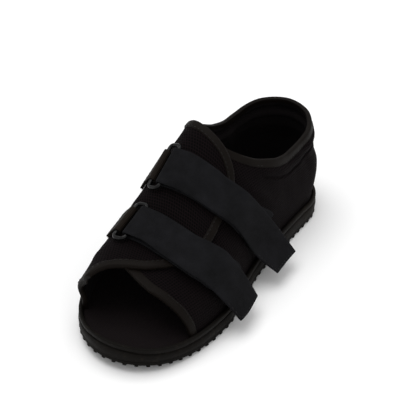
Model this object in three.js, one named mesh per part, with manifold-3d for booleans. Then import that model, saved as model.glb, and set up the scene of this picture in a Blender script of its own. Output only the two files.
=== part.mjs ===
import * as THREE from 'three';
import Module from 'manifold-3d';

// A left post operative shoe: a rocker sole under an open-toed wrap upper with two strap closures.
// Millimetres, +Z up, toe towards -Y, big-toe side towards -X. Side -1 is medial, +1 lateral.

// Sole
const LENGTH = 285;
const BALL_WIDTH = 111;
const HEEL_WIDTH = 83;
const HEEL_RIM = 16; // height of the rim at the heel's back
const TOE_SPRING = 6.4; // how far the tip of the tread stands off the floor
const TIP_SHIFT = 6.5; // the tip of the toe lies this far to the lateral side
const LUG = 1.4;
const LUG_WIDTH = 3.2;
const LUG_PITCH = 8.6;
const LUG_REACH = 11; // from the edge of the sole inwards
const LUG_PROUD = 0.2; // the lugs stand out past the side wall
const TREAD_PLATE = 3;
const BAR_PITCH = 13;
const BAR_WIDTH = 7;
const BAR_MARGIN = 15; // from the edge of the sole to the end of a tread bar
const SIDE_TUCK = 1.2; // the foot of the side wall is drawn in
const TUCK_HEIGHT = 2.5;
const RIM_WALL = 3;
const RIM_ROUND = 1.1;
const LIP_HEIGHT = 4; // the plain band above the groove in the side wall
const GROOVE_HEIGHT = 1.6;
const GROOVE_DEPTH = 1.1;
const GROOVE_SLOPE = 0.4;
const INSOLE = 4;

// Upper
const INSTEP_HEIGHT = 119.5;
const WALL = 3;
const GAP = 0.3; // between pieces that touch
const RIM_CLEARANCE = 0.5; // between the rim and the upper inside it
const FOOT_DROP = 3; // the lower edge of the upper lies this far below the rim
const SIDE_REACH = 14; // degrees from the lower edge in which the side goes down into the rim
const HEEL_BULGE = 2.8;
const BULGE_START = 2.5; // degrees from the lower edge: the heel bulges out above the rim
const BULGE_END = 20;
const TOE_BULGE = 4.3; // the medial flap stands out over the rim beside the big toe
const TOE_BULGE_FADE = [0.10, 0.18]; // shares of the length
const TOE_BULGE_START = 8; // degrees from the medial lower edge
const TOE_BULGE_END = 46;
const BINDING_WIDTH = 6;
const BINDING_HEIGHT = 0.8;
const LATERAL_BOUND = 60; // degrees from the lateral lower edge up to which its binding stands up

// Straps, rings and the tabs that hold the rings
const STRAP = 2;
// Degrees from the lateral edge where a strap lies flat on the upper, and where it passes over the
// edge of the medial flap and its binding
const STRAP_BEDDED = [25, 77];
const STRAP_RISEN = [43, 62];
const TAB = 1.2;
const TAB_FOOT = 54; // degrees from the medial edge where the tab starts
const TAB_HEAD = 63; // and where it lifts off towards the ring
const TAB_RISE = 0.9; // how far it has lifted off there
const TAB_WRAP = 40; // degrees that it goes on round the bar, past the half turn
const BAR = 3;
const RING_SPAN = 10.5; // between the axes of the two long bars
const RING_MARGIN = 2.2; // from the strap's edge to the inside of the ring
const RING_CORNER = 3.2;
const TAB_INSET = 0.07; // the tab is narrower than the ring by this share at each end
const END_REACH_FRONT = 12.5; // the strap ends stand out past the sole
const END_REACH_REAR = 18;
const END_HEIGHT = 15;
const RIM_PASS = 10.5; // height of the strap over the rim where it leaves the shoe
const RIM_PASS_OUT = 2.5;
const RIM_PASS_SWING = { toe: 0.7, heel: 1.05 }; // share of its swing back to the tip at each edge there

// Round stretches of the outline: shares of the length where they start, and their fullness
const TOE_START = 0.30;
const HEEL_START = 0.84;
const TOE_FULL = 2.12;
const HEEL_FULL = 1.85;
// Shares of the walk from the heel to the toe that the heel's and the toe's round take
const HEEL_TURN = 0.20;
const TOE_TURN = 0.66;

// Each half of the sole, as shares of half the ball width or half the heel width
const OUTLINE = [
  { at: 0.30, of: BALL_WIDTH, medial: 0.990, lateral: 1.010 },
  { at: 0.36, of: BALL_WIDTH, medial: 0.985, lateral: 0.965 },
  { at: 0.42, of: BALL_WIDTH, medial: 0.965, lateral: 0.900 },
  { at: 0.55, of: BALL_WIDTH, medial: 0.850, lateral: 0.810 },
  { at: 0.70, of: HEEL_WIDTH, medial: 0.975, lateral: 1.060 },
  { at: 0.84, of: HEEL_WIDTH, medial: 0.950, lateral: 1.050 },
].map((row) => ({ at: row.at, medial: row.medial * row.of / 2, lateral: row.lateral * row.of / 2 }));

// Height of the rim, as shares of the rim at the heel's back
const RIM = [
  { at: 0, height: 1.54 },
  { at: 0.03, height: 1.38 },
  { at: 0.07, height: 1.22 },
  { at: 0.12, height: 1.10 },
  { at: 0.20, height: 1.05 },
  { at: 0.35, height: 1.06 },
  { at: 0.60, height: 1.15 },
  { at: 0.75, height: 1.18 },
  { at: 0.86, height: 1.11 },
  { at: 1, height: 1 },
];

// Height of the foot of the last, as shares of the instep's height
const LAST_BASE = [
  { at: 0, height: 0.159 },
  { at: 0.15, height: 0.146 },
  { at: 0.35, height: 0.142 },
  { at: 0.60, height: 0.155 },
  { at: 0.85, height: 0.175 },
  { at: 1, height: 0.180 },
];

// How far the tread stands off the floor, as shares of the toe spring: flat at the ball and the heel
const ROCKER = [
  { at: 0, lift: 1 },
  { at: 0.06, lift: 0.60 },
  { at: 0.12, lift: 0.30 },
  { at: 0.18, lift: 0.10 },
  { at: 0.25, lift: 0 },
  { at: 0.43, lift: 0 },
  { at: 0.50, lift: 0.14 },
  { at: 0.60, lift: 0.28 },
  { at: 0.68, lift: 0.14 },
  { at: 0.74, lift: 0 },
  { at: 0.93, lift: 0 },
  { at: 1, lift: 0.30 },
];

// Sections of the last: crown is the height of the top as a share of the instep height, lean is
// where the top lies as a share of half the ball width, and the rest is the fullness of each side
const SECTIONS = [
  { at: 0.10, crown: 0.450, lean: -0.29, medial: 2.3, lateral: 2.0 },
  { at: 0.20, crown: 0.485, lean: -0.27, medial: 2.3, lateral: 2.0 },
  { at: 0.30, crown: 0.550, lean: -0.25, medial: 2.3, lateral: 1.9 },
  { at: 0.40, crown: 0.700, lean: -0.25, medial: 2.2, lateral: 1.8 },
  { at: 0.50, crown: 0.860, lean: -0.26, medial: 2.1, lateral: 1.8 },
  { at: 0.60, crown: 1.000, lean: -0.23, medial: 2.1, lateral: 1.9 },
  { at: 0.70, crown: 1.070, lean: -0.11, medial: 2.2, lateral: 2.1 },
  { at: 0.84, crown: 1.085, lean: 0, medial: 2.1, lateral: 2.1 },
];

// The wrap's medial side: foot and top are where a line across it starts and ends, as shares of
// the length, and turn is how far it goes round the last, in degrees from the medial lower edge
const MEDIAL_SIDE = [
  { foot: 0.098, top: 0.079, turn: 70 },
  { foot: 0.125, top: 0.096, turn: 78.5 },
  { foot: 0.150, top: 0.119, turn: 88 },
  { foot: 0.172, top: 0.136, turn: 94 },
  { foot: 0.195, top: 0.150, turn: 100 },
  { foot: 0.220, top: 0.169, turn: 109 },
  { foot: 0.250, top: 0.198, turn: 116 },
  { foot: 0.285, top: 0.233, turn: 122 },
  { foot: 0.335, top: 0.300, turn: 129 },
  { foot: 0.380, top: 0.360, turn: 133 },
  { foot: 0.430, top: 0.430, turn: 133.5 },
  { foot: 0.470, top: 0.480, turn: 132 },
  { foot: 0.495, top: 0.509, turn: 129 },
  { foot: 0.515, top: 0.529, turn: 122 },
  { foot: 0.535, top: 0.541, turn: 113 },
  { foot: 0.555, top: 0.548, turn: 101 },
  { foot: 0.575, top: 0.554, turn: 90 },
  { foot: 0.597, top: 0.562, turn: 78 },
  { foot: 0.620, top: 0.574, turn: 66 },
  { foot: 0.650, top: 0.600, turn: 55 },
  { foot: 0.690, top: 0.650, turn: 44.5 },
  { foot: 0.735, top: 0.710, turn: 36.5 },
  { foot: 0.785, top: 0.775, turn: 33.5 },
  { foot: 0.840, top: 0.840, turn: 33.5 },
  { foot: 0.920, top: 0.920, turn: 36.1 },
  { foot: 1, top: 1, turn: 36.5 },
];

// The wrap's lateral side in the same way, in degrees from the lateral lower edge
const LATERAL_SIDE = [
  { foot: 1, top: 1, turn: 36.5 },
  { foot: 0.920, top: 0.920, turn: 36.3 },
  { foot: 0.840, top: 0.840, turn: 33.7 },
  { foot: 0.785, top: 0.785, turn: 32.4 },
  { foot: 0.730, top: 0.730, turn: 32.5 },
  { foot: 0.680, top: 0.685, turn: 34.4 },
  { foot: 0.630, top: 0.635, turn: 40.5 },
  { foot: 0.590, top: 0.592, turn: 48 },
  { foot: 0.560, top: 0.562, turn: 57 },
  { foot: 0.535, top: 0.545, turn: 66 },
  { foot: 0.510, top: 0.536, turn: 80 },
  { foot: 0.485, top: 0.529, turn: 93 },
  { foot: 0.455, top: 0.510, turn: 104 },
  { foot: 0.420, top: 0.460, turn: 110 },
  { foot: 0.370, top: 0.380, turn: 112 },
  { foot: 0.320, top: 0.300, turn: 111 },
  { foot: 0.270, top: 0.225, turn: 105 },
  { foot: 0.235, top: 0.183, turn: 97 },
  { foot: 0.208, top: 0.160, turn: 88 },
  { foot: 0.188, top: 0.146, turn: 78 },
  { foot: 0.170, top: 0.135, turn: 68 },
  { foot: 0.154, top: 0.130, turn: 58 },
];

// Degrees from the medial lower edge over which the medial flap rises, to clear the lateral flap
const FLAP_RISE = [34, 63];

// Both edges of each strap, as shares of the length by degrees from the medial lower edge
const FRONT_STRAP = [
  { turn: 20, toe: 0.226, heel: 0.324 },
  { turn: 90, toe: 0.226, heel: 0.323 },
  { turn: 118, toe: 0.219, heel: 0.322 },
  { turn: 133, toe: 0.225, heel: 0.337 },
  { turn: 147, toe: 0.246, heel: 0.362 },
  { turn: 168, toe: 0.288, heel: 0.407 },
];
const REAR_STRAP = [
  { turn: 20, toe: 0.385, heel: 0.476 },
  { turn: 90, toe: 0.388, heel: 0.476 },
  { turn: 120, toe: 0.396, heel: 0.484 },
  { turn: 141, toe: 0.422, heel: 0.521 },
  { turn: 155, toe: 0.456, heel: 0.568 },
  { turn: 168, toe: 0.495, heel: 0.620 },
];
const FRONT_TIP = { toe: 0.279, heel: 0.391 }; // where the free ends stand, as shares of the length
const REAR_TIP = { toe: 0.505, heel: 0.618 };
const STRAP_SEWN = 166; // degrees where a strap's lower layer starts
const STRAP_LEAVES = 146; // and where its upper layer leaves the shoe
const RING_TURN = 84; // where the bar lies that a strap turns round

// Mesh steps
const RING_STEPS = 37; // along each half of the sole
const COLUMNS = 43; // along each side of the upper
const ROWS = 11;
const STRAP_COLUMNS = 3;
const STRAP_STEP = 8; // degrees
const FOLD_STEPS = 8;
const FREE_STEPS = 8;
const TAB_STEPS = 4;
const BAR_SIDES = 6;

const HALF_TURN = 180;
const radians = THREE.MathUtils.degToRad;
const shareY = (at) => (at - 0.5) * LENGTH;
const yShare = (y) => y / LENGTH + 0.5;
const sideName = (side) => (side < 0 ? 'medial' : 'lateral');

// Monotone cubic through one column of a table, level at both ends
function smooth(rows, key, x, along = 'at') {
  const last = rows.length - 1;
  if (x <= rows[0][along]) return rows[0][key];
  if (x >= rows[last][along]) return rows[last][key];
  let i = 0;
  while (rows[i + 1][along] < x) i += 1;
  const span = (j) => rows[j + 1][along] - rows[j][along];
  const slope = (j) => (rows[j + 1][key] - rows[j][key]) / span(j);
  const tangent = (j) => {
    if (j === 0 || j === last) return 0;
    const before = slope(j - 1);
    const after = slope(j);
    return before * after <= 0 ? 0 : 2 * before * after / (before + after);
  };
  const h = span(i);
  const u = (x - rows[i][along]) / h;
  const a = rows[i][key];
  const b = rows[i + 1][key];
  const rise = u * u * (3 - 2 * u);
  return a + (b - a) * rise + h * (tangent(i) * u * (1 - u) ** 2 - tangent(i + 1) * u * u * (1 - u));
}

// A table whose rows are evenly spread over 0 to 1
const spread = (rows) => rows.map((row, i) => ({ ...row, at: i / (rows.length - 1) }));

const rimHeight = (at) => HEEL_RIM * smooth(RIM, 'height', at);
const treadLift = (at) => TOE_SPRING * smooth(ROCKER, 'lift', at);

// Point on the sole's outline: walk is 0 at the back of the heel and -1 or 1 at the tip of the toe
function outlinePoint(walk) {
  const turned = Math.abs(walk) > 1 ? walk - 2 * Math.sign(walk) : walk;
  const side = turned < 0 ? -1 : 1;
  const share = Math.abs(turned);
  const name = sideName(side);
  if (share < HEEL_TURN) {
    const angle = Math.PI / 2 * share / HEEL_TURN;
    const x = side * smooth(OUTLINE, name, HEEL_START) * Math.sin(angle) ** (2 / HEEL_FULL);
    const y = shareY(HEEL_START) + (1 - HEEL_START) * LENGTH * Math.cos(angle) ** (2 / HEEL_FULL);
    return new THREE.Vector2(x, y);
  }
  if (share < TOE_TURN) {
    const at = HEEL_START + (TOE_START - HEEL_START) * (share - HEEL_TURN) / (TOE_TURN - HEEL_TURN);
    return new THREE.Vector2(side * smooth(OUTLINE, name, at), shareY(at));
  }
  const angle = Math.PI / 2 * (share - TOE_TURN) / (1 - TOE_TURN);
  const forward = Math.sin(angle) ** (2 / TOE_FULL);
  const out = side * smooth(OUTLINE, name, TOE_START) * Math.max(0, Math.cos(angle)) ** (2 / TOE_FULL);
  return new THREE.Vector2(out + TIP_SHIFT * forward ** 2, shareY(TOE_START * (1 - forward)));
}

// The outline moved inwards
function insetPoint(walk, inset) {
  const step = 0.002;
  const along = outlinePoint(walk + step).sub(outlinePoint(walk - step)).normalize();
  return outlinePoint(walk).add(new THREE.Vector2(along.y, -along.x).multiplyScalar(inset));
}

// Where an inset outline crosses a line across the shoe
const insetLines = new Map();
function insetX(side, y, inset) {
  const key = `${side} ${inset}`;
  if (!insetLines.has(key)) {
    const samples = 240;
    insetLines.set(key, Array.from({ length: samples + 1 }, (_, i) => insetPoint(side * i / samples, inset)));
  }
  const line = insetLines.get(key);
  let i = 1;
  while (i < line.length - 1 && line[i].y > y) i += 1;
  const share = (line[i - 1].y - y) / (line[i - 1].y - line[i].y);
  return THREE.MathUtils.lerp(line[i - 1].x, line[i].x, THREE.MathUtils.clamp(share, 0, 1));
}

// Closed bodies are written as one list of points and one of triangles, facing outwards
function body(points, triangles) {
  const volume = triangles.reduce((sum, [a, b, c]) => {
    return sum + points[a].dot(new THREE.Vector3().crossVectors(points[b], points[c]));
  }, 0);
  const faces = volume < 0 ? triangles.map(([a, b, c]) => [a, c, b]) : triangles;
  const geometry = new THREE.BufferGeometry();
  geometry.setAttribute('position', new THREE.Float32BufferAttribute(points.flatMap((p) => p.toArray()), 3));
  geometry.setIndex(faces.flat());
  return geometry;
}

// A thick sheet between two grids of points of the same size
function sheet(over, under) {
  const columns = over.length;
  const rows = over[0].length;
  const points = [...over.flat(), ...under.flat()];
  const top = (c, r) => c * rows + r;
  const low = (c, r) => columns * rows + c * rows + r;
  const triangles = [];
  const quad = (a, b, c, d) => triangles.push([a, b, c], [a, c, d]);
  for (let c = 0; c < columns - 1; c += 1) {
    for (let r = 0; r < rows - 1; r += 1) {
      quad(top(c, r), top(c + 1, r), top(c + 1, r + 1), top(c, r + 1));
      quad(low(c, r), low(c, r + 1), low(c + 1, r + 1), low(c + 1, r));
    }
    quad(top(c, 0), low(c, 0), low(c + 1, 0), top(c + 1, 0));
    quad(top(c, rows - 1), top(c + 1, rows - 1), low(c + 1, rows - 1), low(c, rows - 1));
  }
  for (let r = 0; r < rows - 1; r += 1) {
    quad(top(0, r), top(0, r + 1), low(0, r + 1), low(0, r));
    quad(top(columns - 1, r), low(columns - 1, r), low(columns - 1, r + 1), top(columns - 1, r + 1));
  }
  return body(points, triangles);
}

// A slab whose side is a stack of rings round the sole; each end is closed by strips across it.
// A level gives the inset and the height of one ring, for a share of the length.
function slab(levels) {
  const half = RING_STEPS;
  const count = 2 * half;
  const rings = levels.map((level) => Array.from({ length: count }, (_, i) => {
    const walk = i <= half ? i / half : (i - count) / half;
    const flat = insetPoint(walk, level.inset);
    return new THREE.Vector3(flat.x, flat.y, level.height(yShare(flat.y)));
  }));
  const triangles = [];
  const quad = (a, b, c, d) => triangles.push([a, b, c], [a, c, d]);
  for (let level = 0; level < rings.length - 1; level += 1) {
    for (let i = 0; i < count; i += 1) {
      const next = (i + 1) % count;
      quad(level * count + i, level * count + next, (level + 1) * count + next, (level + 1) * count + i);
    }
  }
  for (const [start, flip] of [[0, true], [(rings.length - 1) * count, false]]) {
    for (let i = 0; i < half; i += 1) {
      const strip = [i, i + 1, count - i - 1, count - i].map((k) => start + (k % count));
      const corners = strip.filter((k, j) => strip.indexOf(k) === j);
      for (let k = 1; k < corners.length - 1; k += 1) {
        const [one, two] = flip ? [k + 1, k] : [k, k + 1];
        triangles.push([corners[0], corners[one], corners[two]]);
      }
    }
  }
  return body(rings.flat(), triangles);
}

// A round bar bent into a closed loop that lies flat across an axis
function loopBar(path, axis) {
  const count = path.length;
  const points = path.flatMap((point, i) => {
    const before = path[(i + count - 1) % count];
    const along = path[(i + 1) % count].clone().sub(before).normalize();
    const across = new THREE.Vector3().crossVectors(along, axis);
    return Array.from({ length: BAR_SIDES }, (_, k) => {
      const angle = 2 * Math.PI * k / BAR_SIDES;
      return point.clone()
        .addScaledVector(axis, Math.cos(angle) * BAR / 2)
        .addScaledVector(across, Math.sin(angle) * BAR / 2);
    });
  });
  const triangles = [];
  for (let i = 0; i < count; i += 1) {
    for (let k = 0; k < BAR_SIDES; k += 1) {
      const a = i * BAR_SIDES + k;
      const b = i * BAR_SIDES + (k + 1) % BAR_SIDES;
      const c = ((i + 1) % count) * BAR_SIDES + (k + 1) % BAR_SIDES;
      const d = ((i + 1) % count) * BAR_SIDES + k;
      triangles.push([a, b, c], [a, c, d]);
    }
  }
  return body(points, triangles);
}

// Up from 0 and back to 0 between two values
function hump(x, start, end) {
  return Math.sin(Math.PI * THREE.MathUtils.clamp((x - start) / (end - start), 0, 1));
}

// The last, as the outer face of the upper. at is the share of the length from the toe, and past
// HEEL_START it swings round the heel to 1 at the back. turn is in degrees from the lower edge.
const FOOT_INSET = RIM_WALL + RIM_CLEARANCE;
function lastPoint(side, at, turn) {
  if (at > 1) return lastPoint(-side, 2 - at, turn);
  if (turn > HALF_TURN / 2) return lastPoint(-side, at, HALF_TURN - turn);
  const heelShare = Math.max(0, (at - HEEL_START) / (1 - HEEL_START));
  const foot = heelShare > 0
    ? insetPoint(side * HEEL_TURN * (1 - heelShare), FOOT_INSET)
    : new THREE.Vector2(insetX(side, shareY(at), FOOT_INSET), shareY(at));
  const crown = new THREE.Vector2(smooth(SECTIONS, 'lean', at) * BALL_WIDTH / 2, foot.y);
  if (heelShare > 0) crown.y = insetPoint(side * HEEL_TURN, FOOT_INSET).y;
  const full = smooth(SECTIONS, sideName(side), at);
  const angle = radians(Math.max(0, turn));
  const out = Math.max(0, Math.cos(angle)) ** (2 / full);
  const up = Math.sin(angle) ** (2 / full);
  const base = INSTEP_HEIGHT * smooth(LAST_BASE, 'height', yShare(foot.y));
  const reach = base - rimHeight(yShare(foot.y)) + FOOT_DROP;
  const down = reach * (1 - THREE.MathUtils.smoothstep(turn, 0, SIDE_REACH));
  const flat = crown.clone().lerp(foot, out);
  const heelSwell = HEEL_BULGE * THREE.MathUtils.smoothstep(at, 0.70, 0.90);
  const toeSwell = side < 0 ? TOE_BULGE * (1 - THREE.MathUtils.smoothstep(at, ...TOE_BULGE_FADE)) : 0;
  const heelBulge = heelSwell * hump(turn, BULGE_START, BULGE_END);
  const toeBulge = toeSwell * hump(turn, TOE_BULGE_START, TOE_BULGE_END);
  flat.addScaledVector(foot.clone().sub(crown).normalize(), heelBulge + toeBulge);
  const top = INSTEP_HEIGHT * smooth(SECTIONS, 'crown', at);
  return new THREE.Vector3(flat.x, flat.y, base + (top - base) * up - down);
}

// The last moved outwards by lift
function lastOffset(side, at, turn, lift) {
  const atStep = 0.004;
  const turnStep = 0.5;
  const point = lastPoint(side, at, turn);
  const along = lastPoint(side, at + atStep, turn).sub(lastPoint(side, at - atStep, turn));
  const round = lastPoint(side, at, turn + turnStep).sub(lastPoint(side, at, Math.max(0, turn - turnStep)));
  const normal = along.cross(round).normalize();
  const inside = new THREE.Vector3(0, Math.min(point.y, shareY(HEEL_START)), rimHeight(at));
  if (normal.dot(point.clone().sub(inside)) < 0) normal.negate();
  return point.addScaledVector(normal, lift);
}

// The medial flap lies over the lateral flap, a wall and a gap higher
const flapRise = (turn) => (WALL + GAP) * THREE.MathUtils.smoothstep(turn, ...FLAP_RISE);

// The upper is one wall, from the medial toe edge round the heel to the lateral toe edge
function makeUpper() {
  const over = [];
  const under = [];
  for (const [side, table] of [[-1, spread(MEDIAL_SIDE)], [1, spread(LATERAL_SIDE)]]) {
    const front = side < 0 ? 0 : 1;
    for (let column = side < 0 ? 0 : 1; column <= COLUMNS; column += 1) {
      const share = column / COLUMNS;
      const [foot, top, turn] = ['foot', 'top', 'turn'].map((key) => smooth(table, key, share));
      const place = (v) => [side, THREE.MathUtils.lerp(foot, top, v), turn * v];
      const rise = (v) => (side < 0 ? flapRise(turn * v) : 0);
      const middle = lastPoint(...place(0.5));
      const run = middle.distanceTo(lastPoint(...place(0))) + middle.distanceTo(lastPoint(...place(1)));
      const bound = 1 - BINDING_WIDTH / run;
      const frontBand = Math.abs(share - front) < 1.5 / COLUMNS;
      const shares = Array.from({ length: ROWS - 2 }, (_, i) => bound * i / (ROWS - 3));
      shares.push(bound + 0.1 * (1 - bound), 1);
      over.push(shares.map((v, i) => {
        const aboveRim = THREE.MathUtils.smoothstep(turn * v, BULGE_START, 2 * BULGE_START);
        const bare = side < 0 || turn * v < LATERAL_BOUND;
        const raise = bare && (frontBand || i >= ROWS - 2) ? BINDING_HEIGHT * aboveRim : 0;
        return lastOffset(...place(v), rise(v) + raise);
      }));
      under.push(shares.map((v) => lastOffset(...place(v), rise(v) - WALL)));
    }
  }
  return sheet(over, under);
}

// A strip of cloth from the rows of points along its middle
function ribbon(rows, thickness) {
  const over = [];
  const under = [];
  rows.forEach((row, i) => {
    const before = rows[Math.max(0, i - 1)];
    const after = rows[Math.min(rows.length - 1, i + 1)];
    const lifts = row.map((point, j) => {
      const along = after[j].clone().sub(before[j]);
      const across = row[Math.min(row.length - 1, j + 1)].clone().sub(row[Math.max(0, j - 1)]);
      return across.cross(along).setLength(thickness / 2);
    });
    over.push(row.map((point, j) => point.clone().add(lifts[j])));
    under.push(row.map((point, j) => point.clone().sub(lifts[j])));
  });
  return sheet(over, under);
}

const acrossShares = Array.from({ length: STRAP_COLUMNS + 1 }, (_, j) => j / STRAP_COLUMNS);

// A row of points across a strap that lies on the upper
function rowOnUpper(table, turn, lift, inset = 0) {
  const toe = smooth(table, 'toe', turn, 'turn');
  const heel = smooth(table, 'heel', turn, 'turn');
  return acrossShares.map((share) => {
    const at = THREE.MathUtils.lerp(toe, heel, THREE.MathUtils.lerp(inset, 1 - inset, share));
    return lastOffset(-1, at, turn, lift);
  });
}

// The same row drawn straight, as it is where it goes round a bar
function straighten(row, share) {
  const first = row[0].clone();
  const last = row[row.length - 1].clone();
  return row.map((point, j) => point.clone().lerp(first.clone().lerp(last, acrossShares[j]), share));
}

// How high the middle of a strap's lower layer lies over the upper
function strapLift(turn) {
  const lateralTurn = HALF_TURN - turn;
  const rise = THREE.MathUtils.smoothstep(lateralTurn, STRAP_BEDDED[0], STRAP_RISEN[0]);
  const fall = THREE.MathUtils.smoothstep(lateralTurn, STRAP_RISEN[1], STRAP_BEDDED[1]);
  const flap = Math.min(flapRise(turn), (WALL + GAP) * rise);
  return GAP + STRAP / 2 + flap + (BINDING_HEIGHT + GAP) * (rise - fall);
}
const BAR_LIFT = strapLift(RING_TURN) + STRAP / 2 + GAP + BAR / 2;
const TAB_BAR_TURN = 14; // degrees from the strap's bar down to the tab's
const TAB_BAR_LIFT = BAR_LIFT - 0.5; // the ring leans in a little, down to its tab

// Place and directions of a ring: the bar that the strap turns round, and the one that the tab holds
function ringFrame(table) {
  const row = rowOnUpper(table, RING_TURN, BAR_LIFT);
  const lower = rowOnUpper(table, RING_TURN - TAB_BAR_TURN, TAB_BAR_LIFT);
  const centre = row[0].clone().lerp(row.at(-1), 0.5);
  const along = row.at(-1).clone().sub(row[0]).add(lower.at(-1)).sub(lower[0]).normalize();
  const down = lower[0].clone().lerp(lower.at(-1), 0.5).sub(centre);
  down.addScaledVector(along, -down.dot(along)).normalize();
  const out = new THREE.Vector3().crossVectors(along, down).normalize();
  if (out.z < 0) out.negate();
  const tabCentre = centre.clone().addScaledVector(down, RING_SPAN);
  return { centre, tabCentre, along, down, out, half: row[0].distanceTo(row.at(-1)) / 2 };
}

function makeRing(table) {
  const { centre, along, down, out, half } = ringFrame(table);
  const long = half + RING_MARGIN + BAR / 2 - RING_CORNER;
  const short = RING_SPAN / 2 - RING_CORNER;
  const middle = centre.clone().addScaledVector(down, RING_SPAN / 2);
  const path = [];
  const corners = [[1, 1], [-1, 1], [-1, -1], [1, -1]];
  corners.forEach(([u, v], corner) => {
    for (let step = 0; step <= 4; step += 1) {
      const angle = Math.PI / 2 * (corner + step / 4);
      path.push(middle.clone()
        .addScaledVector(along, u * long + RING_CORNER * Math.cos(angle))
        .addScaledVector(down, v * short + RING_CORNER * Math.sin(angle)));
    }
  });
  return loopBar(path, out);
}

// Rows of a strip that goes round a bar: from under it, past its far side, to over it and on by
// some degrees
function foldRows(row, far, out, radius, beyond) {
  const rows = [];
  for (let step = 0; step <= FOLD_STEPS; step += 1) {
    const angle = radians(-90 + (180 + beyond) * step / FOLD_STEPS);
    rows.push(row.map((point) => point.clone()
      .addScaledVector(far, Math.cos(angle) * radius)
      .addScaledVector(out, Math.sin(angle) * radius)));
  }
  return rows;
}

// A strap starts at the lateral side, crosses the instep, turns round its ring and comes back over
// itself, and its free end stands out past the sole
function makeStrap(table, tip, reach) {
  const { centre, along, down, out: away, half } = ringFrame(table);
  const lower = [];
  for (let turn = STRAP_SEWN; turn > RING_TURN + STRAP_STEP; turn -= STRAP_STEP) {
    const nearRing = 1 - THREE.MathUtils.smoothstep(turn, RING_TURN + STRAP_STEP, RING_TURN + 4 * STRAP_STEP);
    lower.push(straighten(rowOnUpper(table, turn, strapLift(turn)), nearRing));
  }
  const bar = acrossShares.map((share) => centre.clone().addScaledVector(along, (2 * share - 1) * half));
  const fold = foldRows(bar, down, away, BAR / 2 + GAP + STRAP / 2, 0);
  const upper = [];
  for (let turn = RING_TURN + 1.5 * STRAP_STEP; turn <= STRAP_LEAVES; turn += STRAP_STEP) {
    const nearRing = 1 - THREE.MathUtils.smoothstep(turn, RING_TURN + STRAP_STEP, RING_TURN + 4 * STRAP_STEP);
    const layer = STRAP + GAP + nearRing * (BAR + GAP);
    const lift = strapLift(turn) + layer;
    upper.push(straighten(rowOnUpper(table, turn, lift), nearRing));
  }
  const pastSole = (at, out, height) => {
    return new THREE.Vector3(insetX(1, shareY(at), 0) + out, shareY(at), height);
  };
  const ends = acrossShares.map((share, j) => {
    const leaves = upper.at(-1)[j];
    const tipAt = THREE.MathUtils.lerp(tip.toe, tip.heel, share);
    const swing = THREE.MathUtils.lerp(RIM_PASS_SWING.toe, RIM_PASS_SWING.heel, share);
    const passAt = THREE.MathUtils.lerp(yShare(leaves.y), tipAt, swing);
    const pass = pastSole(passAt, RIM_PASS_OUT, rimHeight(passAt) + RIM_PASS);
    return new THREE.CatmullRomCurve3([upper.at(-2)[j], leaves, pass, pastSole(tipAt, reach, END_HEIGHT)]);
  });
  const free = Array.from({ length: FREE_STEPS }, (_, i) => {
    return ends.map((curve) => curve.getPoint((1 + 2 * (i + 1) / FREE_STEPS) / 3));
  });
  return ribbon([...lower, ...fold, ...upper, ...free], STRAP);
}

// A tab of webbing sewn to the medial side, which goes through the ring and back down
function makeTab(table) {
  const { tabCentre, along, down, out, half } = ringFrame(table);
  const lower = [];
  const upper = [];
  for (let step = 0; step <= TAB_STEPS; step += 1) {
    const share = step / TAB_STEPS;
    const turn = THREE.MathUtils.lerp(TAB_FOOT, TAB_HEAD, share);
    const lift = flapRise(turn) + GAP + TAB / 2 + TAB_RISE * share ** 2;
    lower.push(rowOnUpper(table, turn, lift, TAB_INSET));
    upper.unshift(rowOnUpper(table, turn, lift + TAB + GAP, TAB_INSET));
  }
  const width = half * (1 - 2 * TAB_INSET);
  const bar = acrossShares.map((share) => tabCentre.clone().addScaledVector(along, (2 * share - 1) * width));
  const fold = foldRows(bar, down.clone().negate(), out, BAR / 2 + GAP + TAB / 2, TAB_WRAP);
  return ribbon([...lower, ...fold, ...upper], TAB);
}

// Heights that the sole's pieces share
const treadTop = (at) => treadLift(at) + LUG + TREAD_PLATE;
const recess = (at) => rimHeight(at) - FOOT_DROP - GAP - INSOLE - GAP;

// The cup of foam: side wall with a groove under its lip, rim, and the recess for the insole
function makeMidsole() {
  const foot = (at) => treadTop(at) + GAP;
  const under = LIP_HEIGHT + GROOVE_HEIGHT;
  return slab([
    { inset: SIDE_TUCK, height: foot },
    { inset: 0, height: (at) => foot(at) + TUCK_HEIGHT },
    { inset: 0, height: (at) => rimHeight(at) - under - GROOVE_SLOPE },
    { inset: GROOVE_DEPTH, height: (at) => rimHeight(at) - under },
    { inset: GROOVE_DEPTH, height: (at) => rimHeight(at) - LIP_HEIGHT },
    { inset: 0, height: (at) => rimHeight(at) - LIP_HEIGHT + GROOVE_SLOPE },
    { inset: 0, height: (at) => rimHeight(at) - RIM_ROUND },
    { inset: RIM_ROUND, height: rimHeight },
    { inset: RIM_WALL - RIM_ROUND / 2, height: rimHeight },
    { inset: RIM_WALL, height: (at) => rimHeight(at) - RIM_ROUND / 2 },
    { inset: RIM_WALL, height: recess },
  ]);
}

function makeInsole() {
  const inset = RIM_WALL + GAP;
  return slab([
    { inset, height: (at) => recess(at) + GAP },
    { inset, height: (at) => recess(at) + GAP + INSOLE },
  ]);
}

// A block under four corners of the tread plate, reaching into it
function block(corners) {
  const points = [0, LUG + TREAD_PLATE / 2].flatMap((rise) => corners.map((corner) => {
    return new THREE.Vector3(corner.x, corner.y, treadLift(yShare(corner.y)) + rise);
  }));
  const triangles = [[0, 2, 1], [0, 3, 2], [4, 5, 6], [4, 6, 7]];
  for (let i = 0; i < 4; i += 1) {
    const next = (i + 1) % 4;
    triangles.push([i, next, 4 + next], [i, 4 + next, 4 + i]);
  }
  return body(points, triangles);
}

const wasm = await Module();
wasm.setup();

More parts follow.
